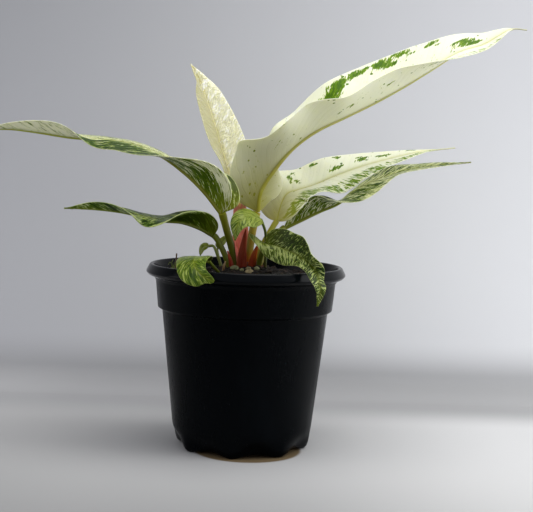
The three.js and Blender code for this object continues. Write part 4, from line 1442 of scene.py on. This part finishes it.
def pot_tree():
    sizes = {
        "Profile": ("Object", None),
        "Profile Points": ("Int", 100),
        "Sides": ("Int", 192),
        "Hollows": ("Float", HOLLOWS),
        "Phase": ("Float", math.radians(HOLLOW_PHASE)),
        "Hollow Depth": ("Float", 3.6 * MM),
        "Hollow Top": ("Float", HOLLOW_TOP * MM),
        "Arch Rise": ("Float", 2.4 * MM),
        "Material": ("Material", None),
    }
    tree, given = new_tree("turned_pot", sizes)
    rows = given["Sides"] + 1
    lattice = add(tree, "GeometryNodeMeshGrid", 1.0, 1.0, given["Profile Points"], rows)
    index = add(tree, "GeometryNodeInputIndex")
    level = calc("FLOOR", (index + 0.25) / rows)
    angle = (index - level * rows) / given["Sides"] * math.tau
    profile = add(tree, "GeometryNodeObjectInfo", given["Profile"], out="Geometry")
    wanted = {"Geometry": profile, "Value": add(tree, "GeometryNodeInputPosition"), "Index": level}
    settings = {"data_type": "FLOAT_VECTOR", "domain": "POINT"}
    radius, _, height = split(add(tree, "GeometryNodeSampleIndex", settings=settings, named=wanted))
    waves = calc("COSINE", (angle - given["Phase"]) * given["Hollows"])
    hollow = calc("MAXIMUM", waves * 0.5 + 0.5, 0.0) ** 0.8 * ramp_mm(radius, *HOLLOW_RADII)
    fade = 1 - ramp(height, HOLLOW_BOTTOM * MM, given["Hollow Top"])
    arch = 1 - ramp_mm(height, *ARCH_HEIGHTS)
    reach = radius - hollow * fade * given["Hollow Depth"]
    raised = height + hollow * arch * given["Arch Rise"]
    spot = combine(reach * calc("COSINE", angle), reach * calc("SINE", angle), raised)
    turned = add(tree, "GeometryNodeSetPosition", lattice, named={"Position": spot})
    closed = add(tree, "GeometryNodeMergeByDistance", turned, named={"Distance": 0.01 * MM})
    close_tree(tree, add(tree, "GeometryNodeSetShadeSmooth", closed), given["Material"])
    return tree


def plastic_finish():
    """Satin black, faintly stained and dusty, and a little shinier on the rim, where hands polish it."""
    material, tree, shader = new_material("satin_black_plastic", {})
    place = place_on(tree)
    stains = noise(stretched(place, 0.25), scale=60, detail=5, roughness=0.65)
    dust = ramp(noise(place, scale=500, detail=3), 0.6, 0.8)
    colour = blend(ramp(stains, 0.52, 0.68) * 0.55, tone(*PLASTIC_TONE), tone(*STAIN_TONE))
    colour = blend(dust * 0.06, colour, tone(*DUST_TONE))
    on_rim = ramp_mm(split(place)[2], RIM_START, RIM_START + RIM_BLEND)
    roughness = add(tree, "ShaderNodeMapRange", stains, 0.35, 0.7, 0.22, 0.44)
    put(shader.inputs["Specular IOR Level"], on_rim * RIM_SHINE + WALL_SHINE)
    put(shader.inputs["Roughness"], roughness * (1 - on_rim * RIM_POLISH))
    dress_shader(shader, colour, noise(place, scale=1800, detail=2), strength=0.08, distance=0.2)
    return material


def turn_pot():
    corners = [*POT_OUTSIDE, *POT_INSIDE, [0, POT_FLOOR]]
    points = rounded(corners, POT_CORNER, POT_RUN)
    mesh = bpy.data.meshes.new("pot_profile")
    mesh.from_pydata([(radius * MM, 0, height * MM) for radius, height in points], [], [])
    profile = new_object("pot_profile", mesh)
    sizes = {"Profile": profile, "Profile Points": len(points), "Material": plastic_finish()}
    pot = grown("nursery_pot", bpy.data.meshes.new("pot_start"), pot_tree(), sizes)
    bpy.data.objects.remove(profile)
    print("pot faces:", len(pot.data.polygons), "profile points:", len(points))
    return pot


pot = turn_pot()

# %% Drain holes, and the pot in its place


def face_outward(piece):
    work = bmesh.new()
    work.from_mesh(piece.data)
    bmesh.ops.remove_doubles(work, verts=work.verts, dist=0.001 * MM)
    bmesh.ops.recalc_face_normals(work, faces=work.faces)
    work.to_mesh(piece.data)
    work.free()


def drain_drills():
    """One short round bar through the pot's floor under each hollow."""
    work = bmesh.new()
    size = DRAIN_RADIUS * MM
    for k in range(HOLLOWS):
        angle = math.radians(HOLLOW_PHASE + 360 / HOLLOWS * k)
        spot = (DRAIN_RING * math.cos(angle) * MM, DRAIN_RING * math.sin(angle) * MM, 0)
        options = {"radius1": size, "radius2": size, "depth": 20 * MM, "matrix": Matrix.Translation(spot)}
        bmesh.ops.create_cone(work, cap_ends=True, segments=24, **options)
    mesh = bpy.data.meshes.new("drains")
    work.to_mesh(mesh)
    work.free()
    return new_object("drains", mesh)


def drill_drains(pot):
    drills = drain_drills()
    cut = pot.modifiers.new("drains", "BOOLEAN")
    cut.operation = "DIFFERENCE"
    cut.solver = "EXACT"
    cut.object = drills
    made = finished_mesh(pot)
    pot.modifiers.clear()
    pot.data = made
    bpy.data.objects.remove(drills)


face_outward(pot)
drill_drains(pot)
seat_piece(pot, ["pot"])
print("pot faces with drains:", len(pot.data.polygons))

# %% [markdown]
# ## Soil, crumbs and pebbles
# The mix is peat and bark with a few pale stones on top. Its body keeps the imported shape, and a tree
# scatters rough crumbs over the surface: points are spread at random with a fixed seed, each gets a
# turned and scaled crumb, and the copies are made real at the end.

# %% The soil's finish and its surface
SOIL_EDGE = 116.6
MOUND_HEIGHT = 8.5
MOUND_WIDTH = 26
CRUMB_RING_RADII = (13, 59)
CRUMB_RINGS = 16
CRUMB_SIDES = 48
STRAW_TONE = (96, 84, 62)


def soil_finish(name, dark, brown, scale):
    material, tree, shader = new_material(name, {"Roughness": 0.92, "Specular IOR Level": 0.25})
    place = place_on(tree)
    coarse = noise(place, scale, detail=5, roughness=0.7)
    fine = noise(place, scale * 6, detail=3)
    colour = blend(ramp(coarse, 0.42, 0.68), tone(*dark), tone(*brown))
    colour = blend(ramp(fine, 0.6, 0.8) * 0.35, colour, tone(*STRAW_TONE))
    dress_shader(shader, colour, coarse + fine * 0.4, strength=0.8, distance=1)
    return material


def dress_node(node, material):
    """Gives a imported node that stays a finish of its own."""
    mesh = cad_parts[node].data
    mesh.materials.clear()
    mesh.materials.append(material)


def soil_surface():
    """A ring of the soil's top, from the crown to the wall, that crumbs are scattered on."""
    radii = np.linspace(*CRUMB_RING_RADII, CRUMB_RINGS)
    angles = np.linspace(0, math.tau, CRUMB_SIDES + 1)[:-1]
    x, y = np.outer(radii, np.cos(angles)), np.outer(radii, np.sin(angles))
    z = SOIL_EDGE + MOUND_HEIGHT * np.exp(-(x * x + y * y) / (MOUND_WIDTH * MOUND_WIDTH))
    points = np.stack([x, y, z], axis=-1).reshape(-1, 3)
    faces = []
    for inner in range(0, CRUMB_SIDES * (CRUMB_RINGS - 1), CRUMB_SIDES):
        outer = inner + CRUMB_SIDES
        for k in range(CRUMB_SIDES):
            n = (k + 1) % CRUMB_SIDES
            faces.append((inner + k, outer + k, outer + n, inner + n))
    mesh = bpy.data.meshes.new("soil_surface")
    mesh.from_pydata((points * MM).tolist(), [], faces)
    return mesh


mix = soil_finish("potting_mix", (14, 11, 9), (34, 27, 20), 260)
dress_node("soil", mix)
print("soil dressed in", mix.name)

# %% The tree that scatters crumbs, and the crumbs
TURN_SEED = 11
SIZE_SEED = 12


def crumb_tree():
    sizes = {
        "Density": ("Float", 90000.0),
        "Apart": ("Float", 2.2 * MM),
        "Smallest": ("Float", 0.5),
        "Largest": ("Float", 1.5),
        "Crumb Size": ("Float", 1.4 * MM),
        "Flatness": ("Float", 0.7),
        "Seed": ("Int", 3),
        "Material": ("Material", None),
    }
    tree, given = new_tree("scattered_crumbs", sizes)
    settings = {"distribute_method": "POISSON"}
    wanted = {"Distance Min": given["Apart"], "Density Max": given["Density"], "Seed": given["Seed"]}
    soil = given["Geometry"]
    spread = add(tree, "GeometryNodeDistributePointsOnFaces", soil, settings=settings, named=wanted)
    ball = add(tree, "GeometryNodeMeshIcoSphere", 1.0, 3)
    spot = add(tree, "GeometryNodeInputPosition")
    rough = noise(spot, scale=1.6, detail=2) - 0.5
    push = add(tree, "ShaderNodeVectorMath", spot, settings={"operation": "SCALE"}, named={"Scale": rough})
    lumpy = add(tree, "GeometryNodeSetPosition", ball, named={"Offset": push})
    flat = combine(1.0, 0.75, given["Flatness"])
    crumb = add(tree, "GeometryNodeTransform", lumpy, named={"Scale": flat})
    turns = {"Min": (-0.5, -0.5, 0.0), "Max": (0.5, 0.5, math.tau), "Seed": TURN_SEED}
    turn = add(tree, "FunctionNodeRandomValue", settings={"data_type": "FLOAT_VECTOR"}, named=turns)
    shares = {"Min": given["Smallest"], "Max": given["Largest"], "Seed": SIZE_SEED}
    share = add(tree, "FunctionNodeRandomValue", settings={"data_type": "FLOAT"}, named=shares, out=1)
    copy = {"Instance": crumb, "Rotation": turn, "Scale": share * given["Crumb Size"]}
    placed = add(tree, "GeometryNodeInstanceOnPoints", spread, named=copy)
    real = add(tree, "GeometryNodeRealizeInstances", placed)
    close_tree(tree, add(tree, "GeometryNodeSetShadeSmooth", real), given["Material"])
    return tree


scattered_crumbs = crumb_tree()
bark = soil_finish("bark_bits", (24, 18, 13), (58, 44, 30), 420)
sizes = {"Material": mix, "Apart": 2.6 * MM}
crumbs = grown("soil_crumbs", soil_surface(), scattered_crumbs, sizes)
sizes = {"Material": bark, "Apart": 8 * MM, "Crumb Size": 2.6 * MM, "Flatness": 0.35, "Seed": 8}
chips = grown("soil_chips", soil_surface(), scattered_crumbs, sizes)
litter = join_meshes("soil_crumbs", [crumbs, chips])
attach(litter, "root")
print("crumb faces:", len(litter.data.polygons))

# %% Pebbles, crown, moss
# A pebble is its middle, its half sizes and whether it is tan. A moss route has x, y and z.
PEBBLES = [
    ([-7.5, -16.4, 123], [3, 2.3, 1.8], False),
    ([-2.7, -18.6, 122], [1.5, 1.4, 1.2], False),
    ([2.3, -20.6, 121.2], [2.9, 2.2, 1.9], True),
    ([7.2, -15.4, 123], [1.9, 1.7, 1.6], False),
    ([1.6, -16.2, 122.8], [1.9, 1.5, 1.4], True),
]
MOSS_CLUMP = ([-50.5, 18, 117.4], [3.6, 3.2, 2.2])
MOSS_ROUTES = [
    [[-50, 18, 117], [-51.5, 17.4, 121], [-53.6, 17, 122.6], [-54.6, 17, 121]],
    [[-50.4, 18.4, 117], [-50.2, 18, 122], [-48.6, 17.8, 124], [-47, 18, 122.8]],
    [[-49.6, 17, 117], [-48.4, 16, 120], [-46.6, 15.6, 120.8]],
    [[-51.4, 19, 117], [-52.4, 19.4, 122], [-51.4, 19.6, 124.6]],
]
MOSS_RADII = (0.55, 0.3)
MOSS_POINTS = 30
STONE_WAVE = 0.09
STONE_SPOT_TONE = (70, 62, 40)


def stone_finish(name, light, dark):
    material, tree, shader = new_material(name, {"Roughness": 0.8})
    place = place_on(tree)
    grain = noise(place, scale=420, detail=5, roughness=0.65)
    spots = ramp(noise(place, scale=1500, detail=2), 0.55, 0.75)
    colour = blend(ramp(grain, 0.35, 0.65), tone(*dark), tone(*light))
    colour = blend(spots * 0.5, colour, tone(*STONE_SPOT_TONE))
    dress_shader(shader, colour, grain, strength=0.6, distance=0.6)
    return material


def lumpy_ball(name, middle, size, finish, seed):
    """A stone: a fine ball pushed in and out by smooth waves that differ from stone to stone."""
    work = bmesh.new()
    bmesh.ops.create_icosphere(work, subdivisions=4, radius=1)
    for vertex in work.verts:
        x, y, z = vertex.co
        wave = math.sin(2.1 * x + seed) * math.cos(1.9 * y - seed) + 0.5 * math.sin(4.3 * z + 2 * seed + x)
        reach = 1 + STONE_WAVE * wave
        vertex.co = [(m + c * s * reach) * MM for m, c, s in zip(middle, (x, y, z), size)]
    mesh = bpy.data.meshes.new(name)
    work.to_mesh(mesh)
    work.free()
    mesh.polygons.foreach_set("use_smooth", [True] * len(mesh.polygons))
    mesh.materials.append(finish)
    return new_object(name, mesh)


def moss_shoot(number, route, finish):
    points = centripetal(route, np.linspace(0, 1, MOSS_POINTS))
    curve = path_curve("moss_route", points, np.linspace(*MOSS_RADII, MOSS_POINTS))
    sizes = {"Material": finish, "Sides": 8, "Step": 0.6 * MM}
    return grown(f"moss_shoot_{number}", curve, round_stem, sizes)


stone_tan = stone_finish("tan_stone", (150, 134, 96), (96, 88, 58))
stone_green = stone_finish("mossy_stone", (124, 122, 84), (74, 78, 46))
for k, (middle, size, is_tan) in enumerate(PEBBLES, start=1):
    stone = lumpy_ball(f"pebble_{k}_stone", middle, size, stone_tan if is_tan else stone_green, 1.7 * k)
    seat_piece(stone, [f"pebble_{k}"])

dress_node("crown", soil_finish("crown_skin", (58, 24, 14), (110, 56, 34), 180))
moss_green = stone_finish("moss_green", (120, 132, 66), (66, 78, 30))
clump = lumpy_ball("moss_clump", *MOSS_CLUMP, moss_green, 0.4)
shoots = [moss_shoot(k, route, moss_green) for k, route in enumerate(MOSS_ROUTES)]
seat_piece(join_meshes("moss_tuft", [clump, *shoots]), ["moss"])
print("pebbles:", len(PEBBLES), "moss shoots:", len(shoots))

# %% [markdown]
# ## Closing
# Both boxes, the imported model's and the visual model's, are printed, so that their sizes can be set side by
# side. The visual model has to stay about as large as the imported one.

# %% Sizes and finish
new_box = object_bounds()
sizes = {"cad": [list(corner) for corner in cad_box], "visual": [list(corner) for corner in new_box]}
print("CAD box:", sizes["cad"], "visual box:", sizes["visual"])
